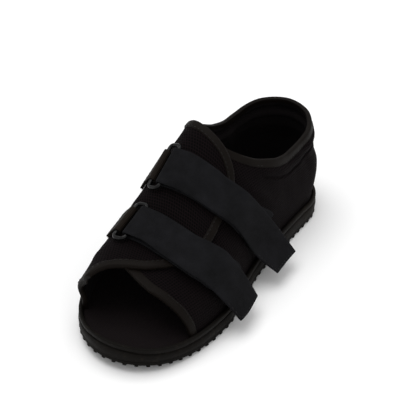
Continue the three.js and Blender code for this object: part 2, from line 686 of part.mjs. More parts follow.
function toSolid(geometry) {
  const vertProperties = new Float32Array(geometry.getAttribute('position').array);
  const triVerts = new Uint32Array(geometry.getIndex().array);
  return new wasm.Manifold(new wasm.Mesh({ numProp: 3, vertProperties, triVerts }));
}

function toGeometry(solid) {
  const mesh = solid.getMesh();
  const geometry = new THREE.BufferGeometry();
  geometry.setAttribute('position', new THREE.Float32BufferAttribute(mesh.vertProperties, 3));
  geometry.setIndex(Array.from(mesh.triVerts));
  return geometry;
}

// The tread: a thin plate with a row of lugs round its edge and bars across it
function makeOutsole() {
  const plate = slab([
    { inset: 0, height: (at) => treadLift(at) + LUG },
    { inset: 0, height: treadTop },
  ]);
  const blocks = [];
  const samples = 800;
  const walks = Array.from({ length: samples + 1 }, (_, i) => -1 + 2 * i / samples);
  const runs = [0];
  for (let i = 1; i <= samples; i += 1) {
    runs.push(runs[i - 1] + outlinePoint(walks[i]).distanceTo(outlinePoint(walks[i - 1])));
  }
  const round = runs[samples];
  const count = Math.round(round / LUG_PITCH);
  const walkAt = (run) => {
    const i = Math.max(1, runs.findIndex((value) => value >= run));
    return walks[i - 1] + (walks[i] - walks[i - 1]) * (run - runs[i - 1]) / (runs[i] - runs[i - 1]);
  };
  for (let i = 0; i < count; i += 1) {
    const run = (i + 0.5) * round / count;
    const before = walkAt(run - LUG_WIDTH / 2);
    const after = walkAt(run + LUG_WIDTH / 2);
    const corners = [
      insetPoint(before, -LUG_PROUD),
      insetPoint(after, -LUG_PROUD),
      insetPoint(after, LUG_REACH),
      insetPoint(before, LUG_REACH),
    ];
    blocks.push(block(corners));
  }
  const bars = Math.floor((LENGTH / 2 - 2 * BAR_MARGIN) / BAR_PITCH);
  for (let i = -bars; i <= bars; i += 1) {
    const y = i * BAR_PITCH;
    const corner = (side, edge) => {
      const edgeY = y + edge * BAR_WIDTH / 2;
      return new THREE.Vector2(insetX(side, edgeY, BAR_MARGIN), edgeY);
    };
    const corners = [corner(-1, -1), corner(1, -1), corner(1, 1), corner(-1, 1)];
    blocks.push(block(corners));
  }
  return toGeometry(blocks.reduce((solid, geometry) => solid.add(toSolid(geometry)), toSolid(plate)));
}

const shoe = new THREE.Group();

function addPiece(name, geometry, color, roughness) {
  const material = new THREE.MeshStandardMaterial({ color, roughness, metalness: 0 });
  const mesh = new THREE.Mesh(geometry, material);
  mesh.name = name;
  shoe.add(mesh);
}

addPiece('outsole', makeOutsole(), '#151311', 0.75);
addPiece('midsole', makeMidsole(), '#1a1715', 0.7);
addPiece('insole', makeInsole(), '#151417', 0.9);
addPiece('upper', makeUpper(), '#100d10', 0.9);
for (const [place, table, tip, reach] of [
  ['front', FRONT_STRAP, FRONT_TIP, END_REACH_FRONT],
  ['rear', REAR_STRAP, REAR_TIP, END_REACH_REAR],
]) {
  addPiece(`strap_${place}`, makeStrap(table, tip, reach), '#1d1d20', 0.95);
  addPiece(`ring_${place}`, makeRing(table), '#0d0d0f', 0.25);
  addPiece(`ring_tab_${place}`, makeTab(table), '#1b1715', 0.9);
}

// The origin lies on the floor, under the middle of the whole shoe
const box = new THREE.Box3().setFromObject(shoe);
const middle = box.getCenter(new THREE.Vector3());
shoe.position.set(-middle.x, -middle.y, -box.min.z);

export default shoe;
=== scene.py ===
import math
from bisect import bisect_left

import bmesh
import bpy
from mathutils import Matrix, Vector


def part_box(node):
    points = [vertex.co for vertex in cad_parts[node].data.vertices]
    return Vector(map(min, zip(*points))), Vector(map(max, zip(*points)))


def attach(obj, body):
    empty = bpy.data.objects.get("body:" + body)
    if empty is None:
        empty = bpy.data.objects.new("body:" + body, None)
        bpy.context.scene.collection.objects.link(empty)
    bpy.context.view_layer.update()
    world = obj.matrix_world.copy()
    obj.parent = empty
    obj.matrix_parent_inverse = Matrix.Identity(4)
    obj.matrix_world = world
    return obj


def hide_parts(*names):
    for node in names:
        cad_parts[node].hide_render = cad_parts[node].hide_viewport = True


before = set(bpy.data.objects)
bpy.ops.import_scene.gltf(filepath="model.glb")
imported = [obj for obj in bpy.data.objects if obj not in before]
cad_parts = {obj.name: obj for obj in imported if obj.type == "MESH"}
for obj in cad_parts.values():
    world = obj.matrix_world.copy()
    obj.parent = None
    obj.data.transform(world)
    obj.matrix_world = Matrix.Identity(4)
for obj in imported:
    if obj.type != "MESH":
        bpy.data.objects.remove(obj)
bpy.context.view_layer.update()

# Studio
# A pale floor under soft light, and a camera that sees the shoe from its outer front quarter,
# a little above it, as the photograph does.

PICTURE = 400  # pixels along each side of the photograph


def linear(hex_colour):
    """An sRGB hex colour as linear red, green, blue and alpha."""
    parts = [int(hex_colour[i:i + 2], 16) / 255 for i in (1, 3, 5)]
    return [p / 12.92 if p <= 0.04045 else ((p + 0.055) / 1.055) ** 2.4 for p in parts] + [1.0]


def add_node(material, kind, inputs=None, **settings):
    """A node with its settings, and each input set to a value or linked to an output."""
    made = material.node_tree.nodes.new(kind)
    for name, value in settings.items():
        setattr(made, name, value)
    feed(made, inputs or {})
    return made


def feed(made, inputs):
    """Sets inputs of a node to values or links them to outputs."""
    for name, source in inputs.items():
        if isinstance(source, bpy.types.NodeSocket):
            made.id_data.links.new(source, made.inputs[name])
        else:
            made.inputs[name].default_value = source


def new_finish(name):
    """A material and its shader."""
    material = bpy.data.materials.new(name)
    material.use_nodes = True
    return material, material.node_tree.nodes["Principled BSDF"]


def clouded(material, place, patch, detail, dark, pale):
    """Two tones of a material, mixed by a soft cloud with patches of one size: gives the cloud and
    the mixed tone."""
    cloud = add_node(material, "ShaderNodeTexNoise", {
        "Vector": place, "Scale": 1 / patch, "Detail": detail,
    })
    tone = add_node(material, "ShaderNodeMix", {
        "Factor": cloud.outputs["Fac"], "A": linear(dark), "B": linear(pale),
    }, data_type="RGBA")
    return cloud.outputs["Fac"], tone.outputs["Result"]


def painted_floor():
    """Matt white paint, which scatters light evenly, with faint patches 2 m across."""
    patch = 2
    material, shader = new_finish("white_floor_paint")
    place = add_node(material, "ShaderNodeTexCoord").outputs["Object"]
    tone = clouded(material, place, patch, 3.0, "#f6f6f6", "#fafafa")[1]
    feed(shader, {"Base Color": tone, "Roughness": 0.9, "Specular IOR Level": 0.1})
    return material


bpy.ops.object.select_all(action="DESELECT")
bpy.ops.mesh.primitive_plane_add(size=12)
floor = bpy.context.object
floor.name = "floor"
floor.data.materials.append(painted_floor())

world = bpy.data.worlds.new("soft_room")
world.use_nodes = True
world.node_tree.nodes["Background"].inputs["Color"].default_value = linear("#ffffff")
world.node_tree.nodes["Background"].inputs["Strength"].default_value = 0.72
bpy.context.scene.world = world
bpy.context.scene.view_settings.view_transform = "Standard"


def softbox(name, place, target, size, power):
    """A square area light that faces a target."""
    bpy.ops.object.light_add(type="AREA", location=place)
    light = bpy.context.object
    light.name = name
    light.data.size = size
    light.data.energy = power
    light.rotation_euler = (Vector(target) - Vector(place)).to_track_quat("-Z", "Y").to_euler()


softbox("key_light", (-0.45, -0.15, 2.2), (0, 0, 0.04), 1.8, 28)
softbox("side_light", (1.15, -0.55, 0.85), (0, 0, 0.04), 0.8, 1.5)
softbox("heel_light", (0.35, 1.1, 0.95), (0, 0, 0.05), 0.7, 1)

# The line down the middle of the sole, from which its outline is measured
sole_low, sole_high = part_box("midsole")
length = sole_high.y - sole_low.y
ball_width = 0.111
ball_half = ball_width / 2
inner_reach = 0.990  # how far out the inner edge lies at the ball, as a share of half the width
middle = Vector((sole_low.x + inner_reach * ball_half, (sole_low.y + sole_high.y) / 2, 0))

azimuth = math.radians(30.47)
elevation = math.radians(35.18)
roll = math.radians(1.70)
distance = 0.8739
focal_pixels = 1122
aim_height = 0.040
aim_pixel = (206.5, 221.0)
sensor = 36

back = Vector((
    math.sin(azimuth) * math.cos(elevation),
    -math.cos(azimuth) * math.cos(elevation),
    math.sin(elevation),
))
level = Vector((math.cos(azimuth), math.sin(azimuth), 0))
upright = back.cross(level)
right = level * math.cos(roll) + upright * math.sin(roll)
upward = upright * math.cos(roll) - level * math.sin(roll)
bpy.ops.object.camera_add()
camera = bpy.context.object
camera.name = "photo_camera"
camera.data.sensor_width = sensor
camera.data.lens = sensor * focal_pixels / PICTURE
camera.data.shift_x = (PICTURE / 2 - aim_pixel[0]) / PICTURE
camera.data.shift_y = (aim_pixel[1] - PICTURE / 2) / PICTURE
aim = middle + Vector((0, 0, aim_height))
camera.matrix_world = Matrix.Translation(aim + back * distance) @ Matrix((
    (right.x, upward.x, back.x, 0),
    (right.y, upward.y, back.y, 0),
    (right.z, upward.z, back.z, 0),
    (0, 0, 0, 1),
))
bpy.context.scene.camera = camera

# Foam sole
# A cup of EVA foam, moulded in one: a side wall with a groove under its lip, a rounded rim, and a
# recess for the foot bed. Its skin is matt, with a fine grain and some dust.

heel_width = 0.083
heel_rim = 0.016  # height of the rim at the heel's back
toe_spring = 0.0064  # how far the tip of the tread stands off the floor
tip_shift = 0.0065  # the tip of the toe lies this far to the lateral side
lug = 0.0014
tread_plate = 0.003
rim_wall = 0.003
round_rim = 0.0014
lip_height = 0.004  # the plain band above the groove in the side wall
groove_height = 0.0016
groove_depth = 0.0011
side_swell = 0.0004
bed = 0.004
foot_drop = 0.003  # the lower edge of the upper lies this far below the rim
gap = 0.0003  # between pieces that touch
# The outline is drawn by the table between these shares of the length, and by round ends past them
toe_start, heel_start = 0.30, 0.84
toe_full, heel_full = 2.12, 1.85
heel_turn, toe_turn = 0.20, 0.66  # shares of the walk round the sole from the heel's back
smooth_angle = math.radians(38)


def table(columns, *rows):
    """A short table with named columns."""
    return [dict(zip(columns.split(), row)) for row in rows]


def smooth(rows, key, x, along="at"):
    """Monotone cubic through one column of a table, level at both ends."""
    last = len(rows) - 1
    if x <= rows[0][along]:
        return rows[0][key]
    if x >= rows[last][along]:
        return rows[last][key]
    i = 0
    while rows[i + 1][along] < x:
        i += 1

    def slope(j):
        return (rows[j + 1][key] - rows[j][key]) / (rows[j + 1][along] - rows[j][along])

    def tangent(j):
        if j in (0, last):
            return 0
        before, after = slope(j - 1), slope(j)
        return 0 if before * after <= 0 else 2 * before * after / (before + after)

    h = rows[i + 1][along] - rows[i][along]
    u = (x - rows[i][along]) / h
    a, b = rows[i][key], rows[i + 1][key]
    rise = u * u * (3 - 2 * u)
    return a + (b - a) * rise + h * (tangent(i) * u * (1 - u) ** 2 - tangent(i + 1) * u * u * (1 - u))


def ease(x, start, end):
    """From 0 to 1 between two values, level at both."""
    share = min(1, max(0, (x - start) / (end - start)))
    return share * share * (3 - 2 * share)


heel_half = heel_width / 2
outline = table(
    "at medial lateral",
    (0.30, inner_reach * ball_half, 1.010 * ball_half),
    (0.36, 0.985 * ball_half, 0.965 * ball_half),
    (0.42, 0.965 * ball_half, 0.900 * ball_half),
    (0.55, 0.850 * ball_half, 0.810 * ball_half),
    (0.70, 0.975 * heel_half, 1.060 * heel_half),
    (0.84, 0.950 * heel_half, 1.050 * heel_half),
)
# Height of the rim, as shares of the rim at the heel's back
rim = table(
    "at height",
    (0, 1.54), (0.03, 1.38), (0.07, 1.22), (0.12, 1.10), (0.20, 1.05), (0.35, 1.06), (0.60, 1.15),
    (0.75, 1.18), (0.86, 1.11), (1, 1),
)
# How far the tread lifts off the floor, as shares of the toe spring
rocker = table(
    "at lift",
    (0, 1), (0.06, 0.60), (0.12, 0.30), (0.18, 0.10), (0.25, 0), (0.43, 0),
    (0.50, 0.14), (0.60, 0.28), (0.68, 0.14), (0.74, 0), (0.93, 0), (1, 0.30),
)


def share_y(at):
    """Where a share of the length from the toe lies along the shoe."""
    return (at - 0.5) * length


def y_share(y):
    return y / length + 0.5


def side_name(side):
    return "medial" if side < 0 else "lateral"


def rim_height(at):
    return heel_rim * smooth(rim, "height", at)


def tread_lift(at):
    return toe_spring * smooth(rocker, "lift", at)


def tread_top(at):
    return tread_lift(at) + lug + tread_plate


def recess(at):
    """Height of the floor of the recess for the foot bed."""
    return rim_height(at) - foot_drop - gap - bed - gap


def outline_point(walk):
    """A point on the sole's outline: walk is 0 at the heel's back, and -1 or 1 at the toe's tip."""
    turned = walk - 2 * math.copysign(1, walk) if abs(walk) > 1 else walk
    side = -1 if turned < 0 else 1
    name = side_name(side)
    share = abs(turned)
    if share < heel_turn:
        angle = math.pi / 2 * share / heel_turn
        x = side * smooth(outline, name, heel_start) * math.sin(angle) ** (2 / heel_full)
        y = share_y(heel_start) + (1 - heel_start) * length * math.cos(angle) ** (2 / heel_full)
        return Vector((x, y))
    if share < toe_turn:
        at = heel_start + (toe_start - heel_start) * (share - heel_turn) / (toe_turn - heel_turn)
        return Vector((side * smooth(outline, name, at), share_y(at)))
    angle = math.pi / 2 * (share - toe_turn) / (1 - toe_turn)
    forward = max(0, math.sin(angle)) ** (2 / toe_full)
    out = side * smooth(outline, name, toe_start) * max(0, math.cos(angle)) ** (2 / toe_full)
    return Vector((out + tip_shift * forward ** 2, share_y(toe_start * (1 - forward))))


def inset_point(walk, inset):
    """The outline moved inwards."""
    step = 0.002
    along = (outline_point(walk + step) - outline_point(walk - step)).normalized()
    return outline_point(walk) + Vector((along.y, -along.x)) * inset


def edit_verts(piece):
    """The mesh that is being edited, with its points in order."""
    shape = bmesh.from_edit_mesh(piece.data)
    shape.verts.ensure_lookup_table()
    return shape


def ring_wall(name, count, levels):
    """A ring of points round the sole, extruded from level to level, and closed by strips across.
    A level gives an inset and a height for each share of the length."""
    bpy.ops.object.select_all(action="DESELECT")
    bpy.ops.mesh.primitive_circle_add(vertices=count, radius=1)
    piece = bpy.context.object
    piece.name = name
    bpy.ops.object.mode_set(mode="EDIT")
    shape = edit_verts(piece)
    walk = shape.verts.layers.float.new("walk")
    for i, vertex in enumerate(shape.verts):
        vertex[walk] = 2 * i / count if 2 * i <= count else 2 * i / count - 2
    first = None
    for number, (inset, height) in enumerate(levels):
        if number:
            bpy.ops.mesh.extrude_region_move()
            shape = edit_verts(piece)
            walk = shape.verts.layers.float["walk"]
        ring = sorted((v for v in shape.verts if v.select), key=lambda v: v[walk])
        for vertex in ring:
            flat = inset_point(vertex[walk], inset)
            vertex.co = Vector((flat.x, flat.y, height(y_share(flat.y)))) + middle
        bmesh.update_edit_mesh(piece.data)
    for chosen in (0, 1):
        shape = edit_verts(piece)
        walk = shape.verts.layers.float["walk"]
        ends = [v for v in shape.verts if any(e.is_boundary for e in v.link_edges)]
        ring = sorted((v for v in ends if v.select == bool(chosen)), key=lambda v: v[walk])
        ring = [v for v in ring if v[walk] >= 0] + [v for v in ring if v[walk] < 0]
        half = count // 2
        for i in range(half):
            strip = [ring[i], ring[i + 1], ring[count - i - 1], ring[(count - i) % count]]
            shape.faces.new(list(dict.fromkeys(strip)))
        bmesh.update_edit_mesh(piece.data)
    bpy.ops.mesh.select_all(action="SELECT")
    bpy.ops.mesh.normals_make_consistent(inside=False)
    bpy.ops.object.mode_set(mode="OBJECT")
    piece.data.attributes.remove(piece.data.attributes["walk"])
    bpy.ops.object.shade_smooth_by_angle(angle=smooth_angle)
    return piece


def finish_piece(piece, slot, material, *nodes):
    """Puts a finished piece on the shoe's one body, with its finish and the nodes it stands for."""
    if not piece.data.materials:
        piece.data.materials.append(material)
    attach(piece, "root")
    if nodes:
        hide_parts(*nodes)


def moulded_foam():
    """EVA foam with a moulded skin: brown-black and matt, with fine grain, a little floor dust in
    patches, and a painted brown sheen towards the heel. The grain and pores are drawn coarser than they
    are."""
    patch, speck, grain_size, pore = 0.0182, 0.0042, 0.0011, 0.0016
    material, shader = new_finish("moulded_eva_foam")
    place = add_node(material, "ShaderNodeTexCoord").outputs["Object"]
    cloud, tone = clouded(material, place, patch, 6.0, "#0a0908", "#110e0b")
    axes = add_node(material, "ShaderNodeSeparateXYZ", {"Vector": place})
    # painted sheen: towards the heel the side is mixed up to three quarters of the way to a paler brown,
    # which stands in for the broad sheen of the light there
    heel = add_node(material, "ShaderNodeMapRange", {
        "Value": axes.outputs["Y"], "From Min": 0.055, "From Max": 0.115, "To Max": 0.75,
    })
    heel_sheen = add_node(material, "ShaderNodeMix", {
        "Factor": heel.outputs["Result"], "A": tone, "B": linear("#17120d"),
    }, data_type="RGBA")
    specks = add_node(material, "ShaderNodeTexNoise", {"Vector": place, "Scale": 1 / speck, "Detail": 8.0})
    dust = add_node(material, "ShaderNodeMapRange", {
        "Value": specks.outputs["Fac"], "From Min": 0.56, "From Max": 0.78, "To Max": 0.5,
    })
    dusty = add_node(material, "ShaderNodeMix", {
        "Factor": dust.outputs["Result"], "A": heel_sheen.outputs["Result"], "B": linear("#29241e"),
    }, data_type="RGBA")
    grain = add_node(material, "ShaderNodeTexNoise", {
        "Vector": place, "Scale": 1 / grain_size, "Detail": 4.0,
    })
    pores = add_node(material, "ShaderNodeTexVoronoi", {"Vector": place, "Scale": 1 / pore})
    rough = add_node(material, "ShaderNodeMath", {0: grain.outputs["Fac"], 1: pores.outputs["Distance"]},
                     operation="ADD")
    bump = add_node(material, "ShaderNodeBump", {
        "Height": rough.outputs[0], "Strength": 0.35, "Distance": 0.0004,
    })
    matt = add_node(material, "ShaderNodeMapRange", {"Value": cloud, "To Min": 0.50, "To Max": 0.72})
    feed(shader, {
        "Base Color": dusty.outputs["Result"], "Roughness": matt.outputs["Result"],
        "Normal": bump.outputs["Normal"], "Specular IOR Level": 0.06, "IOR": 1.48,
    })
    return material


# The foam's profile: how far in each point lies, and how far it lies over the tread or under the rim
foam_foot = table("inset rise", (0.0003, 0), (0.0001, 0.0001), (0, 0.0004), (0, 0.0012))
foam_under = lip_height + groove_height
foam_groove = table(
    "depth drop",
    (0, foam_under + 0.0006), (0.25, foam_under + 0.0002), (0.75, foam_under - 0.0002),
    (1, foam_under - 0.0005), (1, lip_height + 0.0005), (0.75, lip_height + 0.0002),
    (0.25, lip_height - 0.0002), (0, lip_height - 0.0006),
)


def foam_levels():
    """The profile of the foam from the tread up its side, over the rim and down into the recess."""

    def foot(at):
        return tread_top(at) + gap / 4

    levels = [(row["inset"], lambda at, rise=row["rise"]: foot(at) + rise) for row in foam_foot]
    # the wall swells a little between the tread and the groove
    for share in (0.25, 0.5, 0.75):
        levels.append((-side_swell * math.sin(math.pi * share), lambda at, share=share: (
            (foot(at) + foam_foot[-1]["rise"]) * (1 - share)
            + (rim_height(at) - foam_groove[0]["drop"]) * share
        )))
    for row in foam_groove:
        levels.append((row["depth"] * groove_depth, lambda at, drop=row["drop"]: rim_height(at) - drop))
    # the rim is a quarter round on either side
    quarter = [math.pi / 2 * step / 5 for step in range(6)]
    for angle in quarter:
        inset = round_rim * (1 - math.cos(angle))
        levels.append((inset, lambda at, a=angle: rim_height(at) - round_rim * (1 - math.sin(a))))
    for angle in quarter[1:]:
        inset = rim_wall - round_rim * (1 - math.sin(angle))
        levels.append((inset, lambda at, a=angle: rim_height(at) - round_rim * (1 - math.cos(a))))
    return levels + [(rim_wall, recess)]


foam_sole = ring_wall("foam_sole", 300, foam_levels())
finish_piece(foam_sole, "midsole", moulded_foam(), "midsole")

# Rubber tread
# A thin rubber plate under the foam, with a row of lugs round its edge, which show below the side
# wall as small bumps, and bars across it. Its low faces are worn paler.

lug_width = 0.0032
lug_pitch = 0.0086
lug_reach = 0.011
lug_proud = 0.0002
bar_pitch = 0.013
bar_width = 0.007
bar_margin = 0.015
lug_bevel = 0.18  # as a share of the lug's own size
outline_steps = 600
inset_lines = {}


def inset_x(side, y, inset):
    """Where an inset outline crosses a line across the shoe, from the shoe's own middle."""
    if (side, inset) not in inset_lines:
        inset_lines[side, inset] = [
            inset_point(side * i / outline_steps, inset) for i in range(outline_steps + 1)
        ]
    line = inset_lines[side, inset]
    i = min(max(1, bisect_left(line, -y, key=lambda point: -point.y)), len(line) - 1)
    step = line[i - 1].y - line[i].y
    share = (line[i - 1].y - y) / step if step else 0
    return line[i - 1].x + (line[i].x - line[i - 1].x) * min(1, max(0, share))


def join(name, pieces):
    """One piece from several."""
    bpy.ops.object.select_all(action="DESELECT")
    for piece in pieces:
        piece.select_set(True)
    bpy.context.view_layer.objects.active = pieces[0]
    bpy.ops.object.join()
    pieces[0].name = name
    return pieces[0]


def copy_of(piece):
    """A copy with its own mesh."""
    made = bpy.data.objects.new(piece.name, piece.data.copy())
    bpy.context.collection.objects.link(made)
    return made


def lug_blank():
    """A block of one unit each way with rounded edges, for a lug or a bar."""
    bpy.ops.object.select_all(action="DESELECT")
    bpy.ops.mesh.primitive_cube_add(size=1, location=(0, 0, 0))
    blank = bpy.context.object
    blank.name = "lug"
    bpy.ops.object.mode_set(mode="EDIT")
    bpy.ops.mesh.select_all(action="SELECT")
    bpy.ops.mesh.bevel(offset=lug_bevel, segments=2)
    bpy.ops.object.mode_set(mode="OBJECT")
    return blank


def set_lug(blank, corners):
    """Places a copy of the block between four corners of the tread plate."""
    made = copy_of(blank)
    before_out, after_out, after_in, before_in = corners
    for vertex in made.data.vertices:
        a, b, c = vertex.co.x + 0.5, vertex.co.y + 0.5, vertex.co.z + 0.5
        flat = before_out.lerp(after_out, a).lerp(before_in.lerp(after_in, a), b)
        height = tread_lift(y_share(flat.y)) + c * (lug + tread_plate / 2)
        vertex.co = Vector((flat.x, flat.y, height)) + middle
    return made


def moulded_rubber():
    """Black rubber, moulded, with a slight bloom, and paler where the tread meets the floor. Its
    grain is drawn coarser than it is."""
    bloom, grain_size, wear = 0.0111, 0.0009, 0.0009
    material, shader = new_finish("moulded_rubber")
    place = add_node(material, "ShaderNodeTexCoord").outputs["Object"]
    tone = clouded(material, place, bloom, 5.0, "#0a0907", "#100e0b")[1]
    axes = add_node(material, "ShaderNodeSeparateXYZ", {"Vector": place})
    worn = add_node(material, "ShaderNodeMapRange", {
        "Value": axes.outputs["Z"], "From Max": wear, "To Min": 0.55, "To Max": 0.0,
    })
    scuffed = add_node(material, "ShaderNodeMix", {
        "Factor": worn.outputs["Result"], "A": tone, "B": linear("#181512"),
    }, data_type="RGBA")
    grain = add_node(material, "ShaderNodeTexNoise", {
        "Vector": place, "Scale": 1 / grain_size, "Detail": 3.0,
    })
    bump = add_node(material, "ShaderNodeBump", {
        "Height": grain.outputs["Fac"], "Strength": 0.3, "Distance": 0.0003,
    })
    feed(shader, {
        "Base Color": scuffed.outputs["Result"], "Roughness": 0.62,
        "Normal": bump.outputs["Normal"], "Specular IOR Level": 0.06, "IOR": 1.52,
    })
    return material


def tread_levels():
    """The edge of the tread plate, from its underside to its top."""
    def under(at):
        return tread_lift(at) + lug

    return [
        (0.0006, under), (0.0002, lambda at: under(at) + 0.0002), (0, lambda at: under(at) + 0.0006),
        (0, lambda at: tread_top(at) - 0.0004), (0.0001, lambda at: tread_top(at) - 0.0001),
        (0.0003, tread_top),
    ]


def runs_along(points):
    """How far along a line each of its points lies."""
    runs = [0]
    for before, after in zip(points, points[1:]):
        runs.append(runs[-1] + (after - before).length)
    return runs


def find_run(runs, run):
    """The number of the point at or past a run, and the share of the way to it from the one before."""
    i = min(max(1, bisect_left(runs, run)), len(runs) - 1)
    return i, (run - runs[i - 1]) / max(1e-9, runs[i] - runs[i - 1])


def tread_blocks():
    """The lugs round the edge, evenly spaced along it, and the bars across."""
    blank = lug_blank()
    samples = 1600
    walks = [-1 + 2 * i / samples for i in range(samples + 1)]
    runs = runs_along([outline_point(walk) for walk in walks])

    def walk_at(run):
        i, share = find_run(runs, run)
        return walks[i - 1] + (walks[i] - walks[i - 1]) * share

    count = round(runs[-1] / lug_pitch)
    blocks = []
    for i in range(count):
        run = (i + 0.5) * runs[-1] / count
        before, after = walk_at(run - lug_width / 2), walk_at(run + lug_width / 2)
        blocks.append(set_lug(blank, [
            inset_point(before, -lug_proud), inset_point(after, -lug_proud),
            inset_point(after, lug_reach), inset_point(before, lug_reach),
        ]))
    bars = int((length / 2 - 2 * bar_margin) // bar_pitch)
    for i in range(-bars, bars + 1):
        front, rear = i * bar_pitch - bar_width / 2, i * bar_pitch + bar_width / 2
        corners = [Vector((inset_x(side, y, bar_margin), y))
                   for side, y in ((-1, front), (1, front), (1, rear), (-1, rear))]
        blocks.append(set_lug(blank, corners))
    bpy.data.objects.remove(blank)
    return blocks


tread_plate_ring = ring_wall("tread_plate", 300, tread_levels())
rubber_tread = join("rubber_tread", [tread_plate_ring] + tread_blocks())
bpy.ops.object.shade_smooth_by_angle(angle=smooth_angle)
finish_piece(rubber_tread, "outsole", moulded_rubber(), "outsole")

# Foot bed
# A flat foam insole under a woven cover, lying in the recess of the sole. Its edge is rolled and
# its middle is pressed down a little by the foot.


def crossed_threads(material, place, spacing, operation):
    """Waves both ways, like threads that cross at a spacing: at scale 1 a wave is 2 pi / 20 long."""
    along, across = (
        add_node(material, "ShaderNodeTexWave", {
            "Vector": place, "Scale": 2 * math.pi / 20 / spacing,
        }, bands_direction=axis).outputs["Fac"]
        for axis in "XY"
    )
    return add_node(material, "ShaderNodeMath", {0: along, 1: across}, operation=operation).outputs[0]


def woven_cover():
    """A close polyester weave, dark and matt, whose threads cross every 1.4 mm, drawn that coarse
    so that the weave still shows."""
    thread_spacing, patch = 0.0014, 0.025
    material, shader = new_finish("woven_polyester_cover")
    place = add_node(material, "ShaderNodeTexCoord").outputs["Object"]
    weave = crossed_threads(material, place, thread_spacing, "MULTIPLY")
    base = clouded(material, place, patch, 4.0, "#0d0a0a", "#130f10")[1]
    tone = add_node(material, "ShaderNodeMix", {
        "Factor": weave, "A": base, "B": linear("#1b1617"),
    }, data_type="RGBA")
    bump = add_node(material, "ShaderNodeBump", {"Height": weave, "Strength": 0.5, "Distance": 0.0004})
    feed(shader, {
        "Base Color": tone.outputs["Result"], "Roughness": 0.9, "Normal": bump.outputs["Normal"],
        "Specular IOR Level": 0.05, "Sheen Weight": 0.01, "Sheen Roughness": 0.6,
        "Sheen Tint": linear("#8a8084"),
    })
    return material


# The bed's profile inwards from its edge: how far each point lies over its plain top. The cover
# swells behind its rolled edge and sinks again towards the middle
bed_profile = table(
    "inset rise",
    (0, -0.0010), (0.0002, -0.0005), (0.0005, -0.0002), (0.0010, 0),
    (0.0022, 0.0001), (0.0040, 0.0001), (0.0065, 0), (0.0095, -0.0002), (0.0135, -0.0005),
)


def bed_levels():
    """The foot bed from its underside, round its edge and over its top."""
    def under(at):
        return recess(at) + gap

    edge = rim_wall + gap
    levels = [(edge + 0.0004, under), (edge, lambda at: under(at) + 0.0005)]
    for row in bed_profile:
        levels.append((edge + row["inset"], lambda at, rise=row["rise"]: under(at) + bed + rise))
    return levels


foot_bed = ring_wall("foot_bed", 240, bed_levels())
finish_piece(foot_bed, "insole", woven_cover(), "insole")

# Upper
# Two padded flaps of net fabric, cut in one with the quarter round the heel: foam between an open
# polyester net and a brushed lining. The flap from the inner side lies over the other.

instep_height = 0.1195
wall = 0.003
rim_clearance = 0.0005
foot_inset = rim_wall + rim_clearance
# Turns are in degrees round the last from the lower edge, and fades are shares of the length
side_reach = 14  # the side goes down into the rim below this turn
heel_bulge, heel_bulge_fade = 0.0028, (0.70, 0.90)
bulge_start, bulge_end = 2.5, 20
toe_bulge, toe_bulge_fade = 0.0043, (0.10, 0.18)  # the medial flap stands out beside the big toe
toe_bulge_start, toe_bulge_end = 8, 46
flap_rise_start, flap_rise_end = 34, 63
half_turn = 180

# The last's sections: the crown's height as a share of the instep's, how far it leans to a side as
# a share of half the ball width, and how full each side is
sections = table(
    "at crown lean medial lateral",
    (0.10, 0.450, -0.29, 2.3, 2.0),
    (0.20, 0.485, -0.27, 2.3, 2.0),
    (0.30, 0.550, -0.25, 2.3, 1.9),
    (0.40, 0.700, -0.25, 2.2, 1.8),
    (0.50, 0.860, -0.26, 2.1, 1.8),
    (0.60, 1.000, -0.23, 2.1, 1.9),
    (0.70, 1.070, -0.11, 2.2, 2.1),
    (0.84, 1.085, 0, 2.1, 2.1),
)
# Height of the last's widest line, as shares of the instep's height
last_base = table(
    "at height", (0, 0.159), (0.15, 0.146), (0.35, 0.142), (0.60, 0.155), (0.85, 0.175), (1, 0.180),
)
# The medial side of the upper from its toe edge to the heel, and the lateral side back to its own:
# where a line of cloth starts at its foot and ends at its top, as shares of the length, and how far
# round the last its top lies
medial_side = table(
    "foot top turn",
    (0.098, 0.079, 70), (0.125, 0.096, 78.5), (0.150, 0.119, 88), (0.172, 0.136, 94),
    (0.195, 0.150, 100), (0.220, 0.169, 109),
    (0.250, 0.198, 116), (0.285, 0.233, 122), (0.335, 0.300, 129), (0.380, 0.360, 133),
    (0.430, 0.430, 133.5), (0.470, 0.480, 132), (0.495, 0.509, 129), (0.515, 0.529, 122),
    (0.535, 0.541, 113), (0.555, 0.548, 101), (0.575, 0.554, 90), (0.597, 0.562, 78),
    (0.620, 0.574, 66), (0.650, 0.600, 55), (0.690, 0.650, 44.5), (0.735, 0.710, 36.5),
    (0.785, 0.775, 33.5), (0.840, 0.840, 33.5), (0.920, 0.920, 36.1), (1, 1, 36.5),
)
lateral_side = table(
    "foot top turn",
    (1, 1, 36.5), (0.920, 0.920, 36.3), (0.840, 0.840, 33.7), (0.785, 0.785, 32.4),
    (0.730, 0.730, 32.5), (0.680, 0.685, 34.4), (0.630, 0.635, 40.5), (0.590, 0.592, 48),
    (0.560, 0.562, 57), (0.535, 0.545, 66), (0.510, 0.536, 80), (0.485, 0.529, 93),
    (0.455, 0.510, 104), (0.420, 0.460, 110), (0.370, 0.380, 112), (0.320, 0.300, 111),
    (0.270, 0.225, 105), (0.235, 0.183, 97), (0.208, 0.160, 88),
    (0.188, 0.146, 78), (0.170, 0.135, 68), (0.154, 0.130, 58),
)
for side_table in (medial_side, lateral_side):
    for number, row in enumerate(side_table):
        row["at"] = number / (len(side_table) - 1)


def hump(x, start, end):
    """From 0 up to 1 and back to 0 between two values."""
    return math.sin(math.pi * min(1, max(0, (x - start) / (end - start))))


